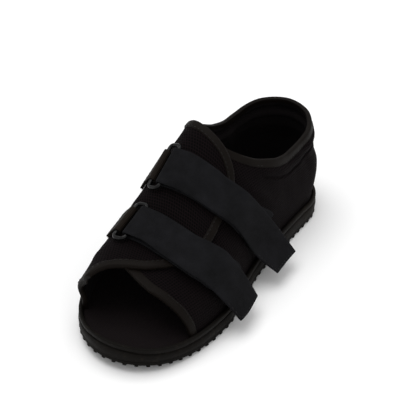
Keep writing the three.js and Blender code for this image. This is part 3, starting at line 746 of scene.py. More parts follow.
def last_point(side, at, turn):
    """A point on the last, from the shoe's own middle. at is the share of the length from the toe,
    and past the heel's start it swings round the heel to 1. turn is in degrees from the lower edge."""
    if at > 1:
        return last_point(-side, 2 - at, turn)
    if turn > half_turn / 2:
        return last_point(-side, at, half_turn - turn)
    heel_share = max(0, (at - heel_start) / (1 - heel_start))
    if heel_share > 0:
        foot = inset_point(side * heel_turn * (1 - heel_share), foot_inset)
    else:
        foot = Vector((inset_x(side, share_y(at), foot_inset), share_y(at)))
    crown = Vector((smooth(sections, "lean", at) * ball_width / 2, foot.y))
    if heel_share > 0:
        crown.y = inset_point(side * heel_turn, foot_inset).y
    full = smooth(sections, side_name(side), at)
    angle = math.radians(max(0, turn))
    out = max(0, math.cos(angle)) ** (2 / full)
    up = math.sin(angle) ** (2 / full)
    base = instep_height * smooth(last_base, "height", y_share(foot.y))
    down = (base - rim_height(y_share(foot.y)) + foot_drop) * (1 - ease(turn, 0, side_reach))
    flat = crown.lerp(foot, out)
    swell = ease(at, *heel_bulge_fade) * heel_bulge * hump(turn, bulge_start, bulge_end)
    if side < 0:
        swell += toe_bulge * (1 - ease(at, *toe_bulge_fade)) * hump(turn, toe_bulge_start, toe_bulge_end)
    flat += (foot - crown).normalized() * swell
    top = instep_height * smooth(sections, "crown", at)
    return Vector((flat.x, flat.y, base + (top - base) * up - down))


near_at, near_turn = 0.004, 0.5  # how far to either side a slope of the last is measured


def last_offset(side, at, turn, lift):
    """The last moved outwards by lift."""
    point = last_point(side, at, turn)
    along = last_point(side, at + near_at, turn) - last_point(side, at - near_at, turn)
    around = last_point(side, at, turn + near_turn) - last_point(side, at, max(0, turn - near_turn))
    normal = along.cross(around).normalized()
    inside = Vector((0, min(point.y, share_y(heel_start)), rim_height(at)))
    if normal.dot(point - inside) < 0:
        normal.negate()
    return point + normal * lift


def flap_rise(turn):
    """How far the medial flap stands off the last, to clear the lateral flap."""
    return (wall + gap) * ease(turn, flap_rise_start, flap_rise_end)


# Both edges of each strap, as shares of the length by degrees from the medial lower edge
front_strap_edges = table(
    "turn toe heel",
    (20, 0.226, 0.324), (90, 0.226, 0.323), (118, 0.219, 0.322), (133, 0.225, 0.337),
    (147, 0.246, 0.362), (168, 0.288, 0.407),
)
rear_strap_edges = table(
    "turn toe heel",
    (20, 0.385, 0.476), (90, 0.388, 0.476), (120, 0.396, 0.484), (141, 0.422, 0.521),
    (155, 0.456, 0.568), (168, 0.495, 0.620),
)

# Creases worn into the padding, from one place on it to another: around is in degrees from the
# medial lower edge, width and depth are in metres, and a negative depth is a ridge
creases = table(
    "at around to_at to_around width depth",
    (0.345, 70, 0.372, 118, 0.0030, 0.0007),
    (0.358, 95, 0.350, 136, 0.0028, 0.0006),
    (0.180, 128, 0.225, 152, 0.0035, 0.0008),
    (0.165, 140, 0.230, 163, 0.0035, 0.0007),
    (0.520, 148, 0.600, 166, 0.0040, 0.0009),
    (0.560, 140, 0.640, 158, 0.0040, 0.0008),
    (0.620, 148, 0.720, 170, 0.0050, 0.0009),
    (0.800, 152, 0.860, 172, 0.0050, 0.0008),
    (0.900, 150, 0.930, 172, 0.0045, 0.0007),
    (0.540, 60, 0.600, 30, 0.0045, 0.0009),
    (0.600, 48, 0.680, 22, 0.0045, 0.0008),
    (0.780, 28, 0.840, 10, 0.0050, 0.0008),
    (0.200, 60, 0.175, 30, 0.0035, 0.0007),
    (0.500, 100, 0.512, 60, 0.0035, 0.0006),
)
round_scale = 0.00105  # metres on the last for each degree, near enough for a crease


def crease_depth(at, around):
    """How deep the creases are at a place: each is a soft trough with a low ridge on either side,
    and runs out past its ends."""
    depth = 0
    for row in creases:
        start = Vector((row["at"] * length, row["around"] * round_scale))
        run = Vector((row["to_at"] * length, row["to_around"] * round_scale)) - start
        here = Vector((at * length, around * round_scale)) - start
        share = here.dot(run) / run.length_squared
        if -0.4 < share < 1.4:
            off = (here - run * share).length / row["width"]
            fade = ease(share, -0.4, 0.3) * (1 - ease(share, 0.7, 1.4))
            depth += row["depth"] * fade * (math.exp(-off * off) - 0.45 * math.exp(-((off - 1.8) ** 2)))
    return depth


def strap_clearance(at, around):
    """How far a place on the upper lies from the nearest strap, in metres: below 0 is under it."""
    nearest = 1
    for edges in (front_strap_edges, rear_strap_edges):
        toe, heel = smooth(edges, "toe", around, "turn"), smooth(edges, "heel", around, "turn")
        nearest = min(nearest, max(toe - at, at - heel) * length)
    return nearest


pad_swell = 0.0009
strap_press = (0.001, 0.012)  # metres beside a strap over which the padding rises from under it


def padding(at, around):
    """How far the net stands off its plain surface: it swells away from the straps and from both
    lower edges, and it is creased."""
    away = ease(strap_clearance(at, around), *strap_press)
    swell = pad_swell * away * ease(around, 14, 40) * (1 - ease(around, 145, 168))
    return swell - crease_depth(at, around) * away


# The line of the collar on each side, for the roll of padding under its binding
collar_lines = {
    side: sorted((row for row in side_table if row["top"] > 0.56), key=lambda row: row["top"])
    for side, side_table in ((-1, medial_side), (1, lateral_side))
}
collar_scale = 0.0019  # metres on the last for each degree at the collar
roll_start, roll_end = 0.0065, 0.0175  # metres below the edge
roll_swell, lower_groove, upper_groove = 0.0019, 0.0011, 0.0004
ankle_start, ankle_end = 0.58, 0.63  # shares of the length over which the roll sets in


def collar_roll(side, at, turn):
    """How far the collar's roll of padding stands out: a swell under the binding, a sewn groove
    on either side of it, and none in front of the ankle."""
    below = (smooth(collar_lines[side], "turn", at, "top") - turn) * collar_scale
    swell = roll_swell * hump(below, roll_start, roll_end)
    groove = lower_groove * hump(below, roll_end - 0.0010, roll_end + 0.0030)
    groove += upper_groove * hump(below, roll_start - 0.0012, roll_start + 0.0006)
    return (swell - groove) * ease(at, ankle_start, ankle_end)


def upper_lift(side, at, turn):
    """How far the net's face stands off the last: the overlap of the flaps, the padding, which
    sets in above the rim, and the collar's roll."""
    around = turn if side < 0 else half_turn - turn
    lift = (flap_rise(turn) if side < 0 else 0) + padding(at, around) * ease(turn, 6, 16)
    return lift + (collar_roll(side, at, turn) if at > ankle_start else 0)


def side_row(side, share):
    """The line of cloth at a share of a side: its foot, its top and its turn."""
    rows = medial_side if side < 0 else lateral_side
    return [smooth(rows, key, share) for key in ("foot", "top", "turn")]


def cloth_grid(name, along, across, place):
    """A grid of cloth: place gives each point and where it lies on the flat cloth, in metres."""
    bpy.ops.object.select_all(action="DESELECT")
    bpy.ops.mesh.primitive_grid_add(x_subdivisions=along, y_subdivisions=across, size=1, calc_uvs=True)
    piece = bpy.context.object
    piece.name = name
    unrolled = []
    for vertex in piece.data.vertices:
        vertex.co, flat = place(vertex.co.x + 0.5, vertex.co.y + 0.5)
        unrolled.append(flat)
    for loop in piece.data.loops:
        piece.data.uv_layers.active.data[loop.index].uv = unrolled[loop.vertex_index]
    return piece


def modify(piece, kind, **settings):
    """Adds a modifier and applies it."""
    bpy.ops.object.select_all(action="DESELECT")
    piece.select_set(True)
    bpy.context.view_layer.objects.active = piece
    modifier = piece.modifiers.new(kind.lower(), kind)
    for name, value in settings.items():
        setattr(modifier, name, value)
    bpy.ops.object.modifier_apply(modifier=modifier.name)


# How far round the last a share of the length is, measured low on its side
first_share = 0.08
girth_shares = [first_share + (1 - first_share) * i / 200 for i in range(201)]
girth_runs = runs_along([last_point(1, share, 20) for share in girth_shares])


def girth_run(at):
    place = min(max((at - first_share) / (1 - first_share), 0), 1) * (len(girth_runs) - 1)
    i = min(int(place), len(girth_runs) - 2)
    return girth_runs[i] + (girth_runs[i + 1] - girth_runs[i]) * (place - i)


# How far up the last from its lower edge each step of turn is, at stations along it
wrap_step = 2
wrap_end = 140
wrap_stations = 12
wrap_runs = {}
for side in (-1, 1):
    for number in range(wrap_stations + 1):
        share = first_share + (1 - first_share) * number / wrap_stations
        wrap_runs[side, number] = runs_along([
            last_point(side, share, turn) for turn in range(0, wrap_end + 1, wrap_step)
        ])


def wrap_run(side, at, turn):
    place = min(max((at - first_share) / (1 - first_share), 0), 1) * wrap_stations
    number, step = min(int(place), wrap_stations - 1), int(turn / wrap_step)
    rise = turn / wrap_step - step
    low, high = (
        wrap_runs[side, n][step] * (1 - rise) + wrap_runs[side, n][step + 1] * rise
        for n in (number, number + 1)
    )
    return low + (high - low) * (place - number)


def upper_point(u, v):
    """u runs from the lateral toe edge round the heel to the medial toe edge, and v from the lower
    edge to the free edge. The flat cloth's place is measured from the heel and the lower edge."""
    side = 1 if u < 0.5 else -1
    foot, top, turn = side_row(side, 1 - 2 * u if side > 0 else 2 - 2 * u)
    at, turn = foot + (top - foot) * v, turn * v
    point = last_offset(side, at, turn, upper_lift(side, at, turn)) + middle
    run = girth_runs[-1] - girth_run(at)
    return point, (side * run, wrap_run(side, at, turn))


def net_fabric():
    """An open polyester net over foam: matt black threads round small square holes, 2 mm apart,
    drawn a little coarse, with a faint sheen where the threads catch the light."""
    mesh_spacing, drift_size, drift_reach = 0.0020, 0.0167, 0.0012
    patch, yarn_size = 0.0222, 0.00067
    material, shader = new_finish("polyester_net")
    flat = add_node(material, "ShaderNodeUVMap", uv_map="UVMap").outputs["UV"]
    place = add_node(material, "ShaderNodeTexCoord").outputs["Object"]
    drift = add_node(material, "ShaderNodeTexNoise", {
        "Vector": flat, "Scale": 1 / drift_size, "Detail": 2.0,
    })
    shifted = add_node(material, "ShaderNodeMix", {
        "Factor": drift_reach, "A": flat, "B": drift.outputs["Color"],
    }, data_type="RGBA", blend_type="ADD")
    threads = crossed_threads(material, shifted.outputs["Result"], mesh_spacing, "MAXIMUM")
    net = add_node(material, "ShaderNodeMapRange", {
        "Value": threads, "From Min": 0.55, "From Max": 0.95,
    })
    thread_tone = clouded(material, place, patch, 5.0, "#0d0809", "#130c0e")[1]
    tone = add_node(material, "ShaderNodeMix", {
        "Factor": net.outputs["Result"], "A": linear("#030303"), "B": thread_tone,
    }, data_type="RGBA")
    yarn = add_node(material, "ShaderNodeTexNoise", {
        "Vector": place, "Scale": 1 / yarn_size, "Detail": 2.0,
    })
    height = add_node(material, "ShaderNodeMath", {
        0: yarn.outputs["Fac"], 1: 0.35, 2: net.outputs["Result"],
    }, operation="MULTIPLY_ADD")
    bump = add_node(material, "ShaderNodeBump", {
        "Height": height.outputs[0], "Strength": 0.7, "Distance": 0.0006,
    })
    feed(shader, {
        "Base Color": tone.outputs["Result"], "Roughness": 0.85, "Normal": bump.outputs["Normal"],
        "Specular IOR Level": 0.04, "Sheen Weight": 0.008, "Sheen Roughness": 0.5,
        "Sheen Tint": linear("#8d8488"),
    })
    return material


def brushed_lining():
    """A brushed tricot lining, soft and matt, a little paler than the net, with a coarse nap."""
    patch, nap_size = 0.0167, 0.00071
    material, shader = new_finish("brushed_tricot")
    place = add_node(material, "ShaderNodeTexCoord").outputs["Object"]
    tone = clouded(material, place, patch, 6.0, "#0d0b0b", "#141112")[1]
    nap = add_node(material, "ShaderNodeTexNoise", {"Vector": place, "Scale": 1 / nap_size, "Detail": 3.0})
    bump = add_node(material, "ShaderNodeBump", {
        "Height": nap.outputs["Fac"], "Strength": 0.5, "Distance": 0.0004,
    })
    feed(shader, {
        "Base Color": tone, "Roughness": 0.95, "Normal": bump.outputs["Normal"],
        "Specular IOR Level": 0.05, "Sheen Weight": 0.01, "Sheen Roughness": 0.6,
        "Sheen Tint": linear("#8f878b"),
    })
    return material


upper_shell = cloth_grid("upper_shell", 320, 90, upper_point)
upper_shell.data.materials.append(net_fabric())
upper_shell.data.materials.append(brushed_lining())
modify(upper_shell, "SOLIDIFY", thickness=wall, offset=-1, material_offset=1, use_quality_normals=True)
bpy.ops.object.shade_smooth_by_angle(angle=math.radians(60))
finish_piece(upper_shell, "upper", None, "upper")

# Bindings
# A woven tape folded over every free edge of the two flaps and the collar, and sewn through. It
# stands a little proud of the net, and its ribs give it a soft shine.

binding_raise = 0.0008
binding_step = 0.0016
lateral_bound = 60  # degrees: past it the lateral flap's edge lies close under the other flap
bound_fade = 12  # degrees before it in which the tape flattens
pressed = 0.75  # and by what share
# The tape's section: inward from the edge, and up from the net's face; the wall lies below 0
tape_outside = (
    (0.0062, -0.0004), (0.0060, 0.0005), (0.0055, 0.0008), (0.0038, 0.0009), (0.0018, 0.0009),
    (0.0006, 0.0007), (-0.0002, 0.0001),
)
tape_inside = ((-0.0005, -0.0010), (-0.0005, -0.0021), (-0.0002, -0.0029), (0.0008, -0.0032),
               (0.0030, -0.0032), (0.0056, -0.0031), (0.0062, -0.0026))


def free_edge():
    """Places along the free edge, from the medial lower corner to the lateral one, each as side,
    at and turn, with a place a little further in."""
    toe_steps, edge_steps = 200, 899
    inner_at, inner = 0.01, 0.95
    places = []
    for side, column in ((-1, 0), (1, 1)):
        foot, top, turn = side_row(side, column)
        end = []
        for v in (i / toe_steps for i in range(toe_steps + 1)):
            at = foot + (top - foot) * v
            end.append((side, at, turn * v, at + inner_at, turn * v))
        rows = []
        for i in range(edge_steps + 1):
            foot, top, turn = side_row(side, i / edge_steps)
            rows.append((side, top, turn, foot + (top - foot) * inner, turn * inner))
        places += end + rows[1:] if side < 0 else rows[1:] + end[::-1][1:]
    return places


def edge_stations():
    """Evenly spaced stations on the free edge: the place, how at and turn change for each metre
    inwards, and how far along it is."""
    places = free_edge()
    runs = runs_along([last_point(*place[:3]) for place in places])
    count = round(runs[-1] / binding_step)
    stations = []
    for i in range(count + 1):
        run = runs[-1] * i / count
        k, share = find_run(runs, run)
        one, two = places[k - 1], places[k]
        side = two[0]
        mixed = [a + (b - a) * share for a, b in zip(one[1:], two[1:])] if one[0] == side else two[1:]
        stations.append([side, *mixed, run])
    made = []
    for i, (side, at, turn, inner_at, inner_turn, run) in enumerate(stations):
        before, after = stations[max(0, i - 1)], stations[min(count, i + 1)]
        here = last_point(side, at, turn)
        along = (last_point(*after[:3]) - last_point(*before[:3])).normalized()
        normal = (last_offset(side, at, turn, 0.001) - here).normalized()
        inward = along.cross(normal)
        if inward.dot(last_point(side, inner_at, inner_turn) - here) < 0:
            inward.negate()
        # how the last's surface runs for each share and degree, and inwards in terms of both
        wide = 0.003
        by_at = (last_point(side, at + wide, turn) - last_point(side, at - wide, turn)) / (2 * wide)
        low, high = max(0, turn - near_turn), turn + near_turn
        by_turn = (last_point(side, at, high) - last_point(side, at, low)) / (high - low)
        a, b, c = by_at.dot(by_at), by_at.dot(by_turn), by_turn.dot(by_turn)
        d, e = inward.dot(by_at), inward.dot(by_turn)
        whole = a * c - b * b
        made.append((side, at, turn, (d * c - e * b) / whole, (e * a - d * b) / whole, run))
    return made


def beside_edge(station, inward, height):
    """A point near the free edge: so far in from it, and so high over the net."""
    side, at, turn, at_rate, turn_rate, _ = station
    at, turn = at + at_rate * inward, max(0, turn + turn_rate * inward)
    covered = ease(turn, lateral_bound - bound_fade, lateral_bound) if side > 0 else 0
    if height > 0:
        height *= 1 - pressed * covered
    return last_offset(side, at, turn, upper_lift(side, at, turn) + height) + middle


def tube_grid(name, along, around, place):
    """A grid rolled up to a tube: its long edges are merged and its ends are closed."""
    piece = cloth_grid(name, along, around, place)
    bpy.ops.object.mode_set(mode="EDIT")
    bpy.ops.mesh.select_all(action="SELECT")
    bpy.ops.mesh.remove_doubles(threshold=0.000002)
    bpy.ops.mesh.fill_holes(sides=0)
    bpy.ops.mesh.select_all(action="SELECT")
    bpy.ops.mesh.normals_make_consistent(inside=False)
    bpy.ops.object.mode_set(mode="OBJECT")
    bpy.ops.object.shade_smooth_by_angle(angle=math.radians(50))
    return piece


def woven_tape():
    """Polyester grosgrain: fine ribs across the tape, 1 mm apart, drawn a little coarse, and a
    satin sheen on each."""
    rib, patch = 0.0010, 0.0143
    material, shader = new_finish("polyester_grosgrain")
    flat = add_node(material, "ShaderNodeUVMap", uv_map="UVMap").outputs["UV"]
    ribs = add_node(material, "ShaderNodeTexWave", {
        "Vector": flat, "Scale": 2 * math.pi / 20 / rib, "Distortion": 0.4,
    }, bands_direction="X")
    base = clouded(material, flat, patch, 3.0, "#060404", "#0b0806")[1]
    tone = add_node(material, "ShaderNodeMix", {
        "Factor": ribs.outputs["Fac"], "A": base, "B": linear("#110c08"),
    }, data_type="RGBA")
    bump = add_node(material, "ShaderNodeBump", {
        "Height": ribs.outputs["Fac"], "Strength": 0.4, "Distance": 0.0002,
    })
    feed(shader, {
        "Base Color": tone.outputs["Result"], "Roughness": 0.55, "Normal": bump.outputs["Normal"],
        "Specular IOR Level": 0.06, "Sheen Weight": 0.005, "Sheen Roughness": 0.4,
    })
    return material


def sewing_thread():
    """Bonded polyester thread, twisted every 0.4 mm, with a low shine."""
    twist = 0.0004
    material, shader = new_finish("polyester_thread")
    place = add_node(material, "ShaderNodeTexCoord").outputs["Object"]
    tone = clouded(material, place, twist, 2.0, "#0c0b0b", "#141211")[1]
    feed(shader, {"Base Color": tone, "Roughness": 0.5, "Specular IOR Level": 0.15})
    return material


stitch_length = 0.0026
stitch_gap = 0.0012
stitch_thick = 0.0006
stitch_dip = 0.6  # how far both ends dip in, as a share of the thickness at full length


def stitch_blank():
    """One stitch of one unit each way: a short thread that dips in at both ends."""
    bpy.ops.object.select_all(action="DESELECT")
    bpy.ops.mesh.primitive_uv_sphere_add(segments=8, ring_count=5, radius=0.5, location=(0, 0, 0))
    blank = bpy.context.object
    blank.name = "stitch"
    bpy.ops.object.mode_set(mode="EDIT")
    bpy.ops.mesh.select_all(action="SELECT")
    bpy.ops.transform.rotate(value=math.pi / 2, orient_axis="Y", center_override=(0, 0, 0))
    bpy.ops.object.mode_set(mode="OBJECT")
    for vertex in blank.data.vertices:
        vertex.co.z -= stitch_dip * vertex.co.x ** 2
    bpy.ops.object.shade_smooth()
    return blank


def sew(name, line, normals):
    """Stitches along a line of points, as one piece."""
    blank = stitch_blank()
    runs = runs_along(line)
    count = max(1, round(runs[-1] / (stitch_length + stitch_gap)))

    def on_line(run):
        k, share = find_run(runs, run)
        return line[k - 1].lerp(line[k], share), normals[k]

    stitches = []
    for i in range(count):
        run = (i + 0.5) * runs[-1] / count
        centre, normal = on_line(run)
        along = (on_line(run + 0.0004)[0] - centre).normalized()
        side = normal.cross(along).normalized()
        up = along.cross(side)
        stitch = copy_of(blank)
        stitch.data.transform(Matrix((
            (along.x * stitch_length, side.x * stitch_thick, up.x * stitch_thick, centre.x),
            (along.y * stitch_length, side.y * stitch_thick, up.y * stitch_thick, centre.y),
            (along.z * stitch_length, side.z * stitch_thick, up.z * stitch_thick, centre.z),
            (0, 0, 0, 1),
        )))
        stitches.append(stitch)
    bpy.data.objects.remove(blank)
    return join(name, stitches)


stations = edge_stations()
tape_section = tape_outside + tape_inside
tape_side = 0.0011  # how wide a side of the section is taken to be on the flat tape


def tape_point(u, v):
    """A point on the tape: u runs along the free edge, and v round the tape's section."""
    station = stations[round(u * (len(stations) - 1))]
    corner = round(v * len(tape_section))
    inward, height = tape_section[corner % len(tape_section)]
    return beside_edge(station, inward, height), (station[5], corner * tape_side)


upper_binding = tube_grid("upper_binding", len(stations) - 1, len(tape_section), tape_point)
finish_piece(upper_binding, "upper", woven_tape())

thread = sewing_thread()
seam_inset = 0.0048
seam_height = binding_raise + 0.0001
seam_from, seam_to = 8, lateral_bound - 14  # degrees: the second is for the lateral flap alone
for name, side in (("inner_edge_stitches", -1), ("outer_edge_stitches", 1)):
    run = [s for s in stations if s[0] == side and s[2] > seam_from and (side < 0 or s[2] < seam_to)]
    line = [beside_edge(s, seam_inset, seam_height) for s in run]
    higher = [beside_edge(s, seam_inset, seam_height + 0.001) for s in run]
    pieces = []
    start = 0
    for i in range(1, len(run) + 1):
        # a new row of stitches starts where the edge goes under the other flap
        if i == len(run) or (line[i] - line[i - 1]).length > 4 * binding_step:
            part = slice(start, i)
            normals = [b - a for a, b in zip(line[part], higher[part])]
            if i - start > 4:
                pieces.append(sew(name, line[part], normals))
            start = i
    finish_piece(join(name, pieces), "upper", thread)

# Straps
# Two straps of brushed loop pile, each sewn down at the outer side, taken across the foot, turned
# round its ring and closed back over itself. The free ends stand out past the sole.

strap = 0.002
strap_edge = 0.0009  # the strap thins out over this width at each edge
bar = 0.003
ring_span = 0.0105  # between the axes of the ring's two long bars
# Turns are in degrees round the last from the medial lower edge, apart from where a strap rises
# over the lateral flap and beds down again, which are from the lateral one
strap_bedded = (25, 77)
strap_risen = (43, 62)
ring_turn = 84
tab_bar_turn = 14
strap_sewn = 166
strap_leaves = 146
strap_step = 8
turn_step = 2
free_steps = 24
end_height = 0.015
rim_pass = 0.0105  # height of a strap over the rim where it leaves the shoe
rim_pass_out = 0.0025
rim_pass_swing = (0.7, 1.05)
front_strap_tip, front_strap_reach = (0.279, 0.391), 0.0125
rear_strap_tip, rear_strap_reach = (0.505, 0.618), 0.018
# Shares across a strap, close together at its soft edges
edge_shares = [0, 0.012, 0.035, 0.08]
strap_shares = (
    edge_shares + [0.08 + 0.84 * i / 10 for i in range(1, 10)] + [1 - share for share in edge_shares[::-1]]
)


def row_on_upper(edges, turn, lift, inset=0):
    """A row of points across a strap that lies on the upper."""
    toe, heel = smooth(edges, "toe", turn, "turn"), smooth(edges, "heel", turn, "turn")
    low, high = toe + (heel - toe) * inset, heel - (heel - toe) * inset
    return [last_offset(-1, low + (high - low) * share, turn, lift) for share in strap_shares]


def straighten(row, amount):
    """The same row drawn straight, as it is where it goes round a bar."""
    return [point.lerp(row[0].lerp(row[-1], share), amount) for point, share in zip(row, strap_shares)]


def strap_lift(turn):
    """How high the middle of a strap's lower layer lies over the upper."""
    lateral_turn = 180 - turn
    rise = ease(lateral_turn, strap_bedded[0], strap_risen[0])
    fall = ease(lateral_turn, strap_risen[1], strap_bedded[1])
    flap = min(flap_rise(turn), (wall + gap) * rise)
    return gap + strap / 2 + flap + (binding_raise + gap) * (rise - fall)


bar_lift = strap_lift(ring_turn) + strap / 2 + gap + bar / 2
tab_bar_lift = bar_lift - 0.0005  # the ring leans in a little, down to its tab


def ring_frame(edges):
    """Place and directions of a ring: the bar that the strap turns round, and the tab's bar."""
    row = row_on_upper(edges, ring_turn, bar_lift)
    lower = row_on_upper(edges, ring_turn - tab_bar_turn, tab_bar_lift)
    centre = row[0].lerp(row[-1], 0.5)
    along = (row[-1] - row[0] + lower[-1] - lower[0]).normalized()
    down = lower[0].lerp(lower[-1], 0.5) - centre
    down = (down - along * down.dot(along)).normalized()
    out = along.cross(down).normalized()
    if out.z < 0:
        out.negate()
    return {
        "centre": centre, "tab_centre": centre + down * ring_span, "along": along, "down": down,
        "out": out, "half": (row[-1] - row[0]).length / 2,
    }


def fold_rows(row, far, out, radius, beyond, steps=20):
    """Rows of a strip that goes round a bar: from under it, past its far side, to over it and on
    by some degrees."""
    rows = []
    for step in range(steps + 1):
        angle = math.radians(-90 + (180 + beyond) * step / steps)
        rows.append([p + far * math.cos(angle) * radius + out * math.sin(angle) * radius for p in row])
    return rows


def along_curve(points, t):
    """A point on a smooth curve through four points, t from 1 to 3 past the first one."""
    spans = [(b - a).length ** 0.5 for a, b in zip(points, points[1:])]
    k = min(2, int(t))
    u = t - k
    one, two = points[k], points[k + 1]
    span = spans[k]

    def slope(i):
        if i == 0:
            return (points[1] - points[0]) / spans[0]
        if i == 3:
            return (points[3] - points[2]) / spans[2]
        before = (points[i] - points[i - 1]) / spans[i - 1]
        after = (points[i + 1] - points[i]) / spans[i]
        across = (points[i + 1] - points[i - 1]) / (spans[i - 1] + spans[i])
        return before - across + after

    a, b = slope(k) * span, slope(k + 1) * span
    return (
        one * (2 * u ** 3 - 3 * u * u + 1) + a * (u ** 3 - 2 * u * u + u)
        + two * (3 * u * u - 2 * u ** 3) + b * (u ** 3 - u * u)
    )


def near_ring(turn):
    """How near to its ring a strap is: 1 at the ring, and 0 where it lies on the upper."""
    return 1 - ease(turn, ring_turn + strap_step, ring_turn + 4 * strap_step)


def along_bar(centre, along, half):
    """A straight row of points along a bar."""
    return [centre + along * (2 * share - 1) * half for share in strap_shares]


def strap_rows(edges, tip, reach):
    """The middle of a strap in rows across it, from its seam to the ring, and back to its tip."""
    ring = ring_frame(edges)
    rows = []
    turn = strap_sewn
    while turn > ring_turn + strap_step:
        rows.append(straighten(row_on_upper(edges, turn, strap_lift(turn)), near_ring(turn)))
        turn -= turn_step
    on_bar = along_bar(ring["centre"], ring["along"], ring["half"])
    rows += fold_rows(on_bar, ring["down"], ring["out"], bar / 2 + gap + strap / 2, 0)
    turn = ring_turn + 1.5 * strap_step
    while turn <= strap_leaves:
        layer = strap + gap + near_ring(turn) * (bar + gap)
        rows.append(straighten(row_on_upper(edges, turn, strap_lift(turn) + layer), near_ring(turn)))
        turn += turn_step

    def past_sole(at, out, height):
        return Vector((inset_x(1, share_y(at), 0) + out, share_y(at), height))

    curves = []
    for j, share in enumerate(strap_shares):
        leaves = rows[-1][j]
        tip_at = tip[0] + (tip[1] - tip[0]) * share
        swing = rim_pass_swing[0] + (rim_pass_swing[1] - rim_pass_swing[0]) * share
        pass_at = y_share(leaves.y) + (tip_at - y_share(leaves.y)) * swing
        over_rim = past_sole(pass_at, rim_pass_out, rim_height(pass_at) + rim_pass)
        curves.append([rows[-4][j], leaves, over_rim, past_sole(tip_at, reach, end_height)])
    for step in range(1, free_steps + 1):
        rows.append([along_curve(curve, 1 + 2 * step / free_steps) for curve in curves])
    return [[point + middle for point in row] for row in rows]


def row_normals(rows):
    """The direction square to the strip at each point."""
    normals = []
    for i, row in enumerate(rows):
        before, after = rows[max(0, i - 1)], rows[min(len(rows) - 1, i + 1)]
        normals.append([
            (row[min(len(row) - 1, j + 1)] - row[max(0, j - 1)]).cross(after[j] - before[j]).normalized()
            for j in range(len(row))
        ])
    return normals


def seam_across(name, rows, picks, thickness, outward):
    """Stitches along picked points of a strip, on the face that looks outward."""
    normals = row_normals(rows)
    line, facing = [], []
    for i, j in picks:
        normal = normals[i][j] if normals[i][j].dot(outward) > 0 else -normals[i][j]
        line.append(rows[i][j] + normal * (thickness / 2 - 0.0001))
        facing.append(normal)
    return sew(name, line, facing)


def ribbon(name, rows, thickness, soft_edge):
    """A strip of cloth with soft edges, from rows of points along its middle."""
    width = len(rows[0])
    around = 2 * width
    normals = row_normals(rows)
    runs = runs_along([row[width // 2] for row in rows])

    def place(u, v):
        i, k = round(u * (len(rows) - 1)), round(v * around)
        above = k % around < width
        j = k % around if above else around - 1 - k % around
        span = (rows[i][j] - rows[i][0]).length
        breadth = (rows[i][-1] - rows[i][0]).length
        half = thickness / 2 * (0.5 + 0.5 * ease(min(span, breadth - span), 0, soft_edge))
        lap = span if k < width else 2 * breadth + thickness - span
        if k == around:
            lap = 2 * breadth + 2 * thickness
        return rows[i][j] + normals[i][j] * (half if above else -half), (runs[i], lap)

    return tube_grid(name, len(rows) - 1, around, place)


def loop_pile():
    """Brushed nylon loop pile: charcoal, clouded where the nap lies over, with fine wales along
    the strap and a soft rim of light at grazing angles. Wales and loops are drawn coarse."""
    patch, broad_patch, wale, loop = 0.0091, 0.0455, 0.0012, 0.00077
    material, shader = new_finish("brushed_loop_pile")
    flat = add_node(material, "ShaderNodeUVMap", uv_map="UVMap").outputs["UV"]
    cloud = add_node(material, "ShaderNodeTexNoise", {
        "Vector": flat, "Scale": 1 / patch, "Detail": 6.0, "Roughness": 0.65,
    })
    broad = add_node(material, "ShaderNodeTexNoise", {
        "Vector": flat, "Scale": 1 / broad_patch, "Detail": 2.0,
    })
    both = add_node(material, "ShaderNodeMath", {0: cloud.outputs["Fac"], 1: broad.outputs["Fac"]},
                    operation="ADD")
    nap = add_node(material, "ShaderNodeMapRange", {
        "Value": both.outputs[0], "From Min": 0.75, "From Max": 1.25,
    })
    tone = add_node(material, "ShaderNodeMix", {
        "Factor": nap.outputs["Result"], "A": linear("#101011"), "B": linear("#18181a"),
    }, data_type="RGBA")
    wales = add_node(material, "ShaderNodeTexWave", {
        "Vector": flat, "Scale": 2 * math.pi / 20 / wale, "Distortion": 2.5, "Detail": 2.0,
        "Detail Scale": 3.0,
    }, bands_direction="Y")
    pile = add_node(material, "ShaderNodeTexNoise", {"Vector": flat, "Scale": 1 / loop, "Detail": 3.0})
    height = add_node(material, "ShaderNodeMath", {
        0: wales.outputs["Fac"], 1: 0.3, 2: pile.outputs["Fac"],
    }, operation="MULTIPLY_ADD")
    bump = add_node(material, "ShaderNodeBump", {
        "Height": height.outputs[0], "Strength": 0.5, "Distance": 0.0005,
    })
    feed(shader, {
        "Base Color": tone.outputs["Result"], "Roughness": 0.92, "Normal": bump.outputs["Normal"],
        "Specular IOR Level": 0.04, "Sheen Weight": 0.012, "Sheen Roughness": 0.45,
        "Sheen Tint": linear("#9a9aa0"),
    })
    return material


pile = loop_pile()
seam_columns = range(2, len(strap_shares) - 2)  # the points of a row that a seam across it follows
hook_tape_rows = 13
lateral_up = Vector((0.7, 0, 0.7))
for name, edges, tip, reach in (
    ("front", front_strap_edges, front_strap_tip, front_strap_reach),
    ("rear", rear_strap_edges, rear_strap_tip, rear_strap_reach),
):
    rows = strap_rows(edges, tip, reach)
    piece = ribbon(f"{name}_strap", rows, strap, strap_edge)
    finish_piece(piece, "strap", pile, f"strap_{name}")
    # the hook tape under the free end is sewn on along both edges and at the tip
    last = len(rows) - 1
    box = [
        [(i, j) for i in range(last - hook_tape_rows, last)] for j in (seam_columns[0], seam_columns[-1])
    ]
    box.append([(last - 1, j) for j in seam_columns])
    seams = [seam_across(f"{name}_strap_stitches", rows, picks, strap, lateral_up) for picks in box]
    finish_piece(join(f"{name}_strap_stitches", seams), "strap", thread)

# Rings
# Two oblong loops of black acetal, moulded with a round section. The strap turns round one long
# bar, and the tab holds the other.

ring_margin = 0.0022  # from the strap's edge to the inside of the ring
ring_corner = 0.0032


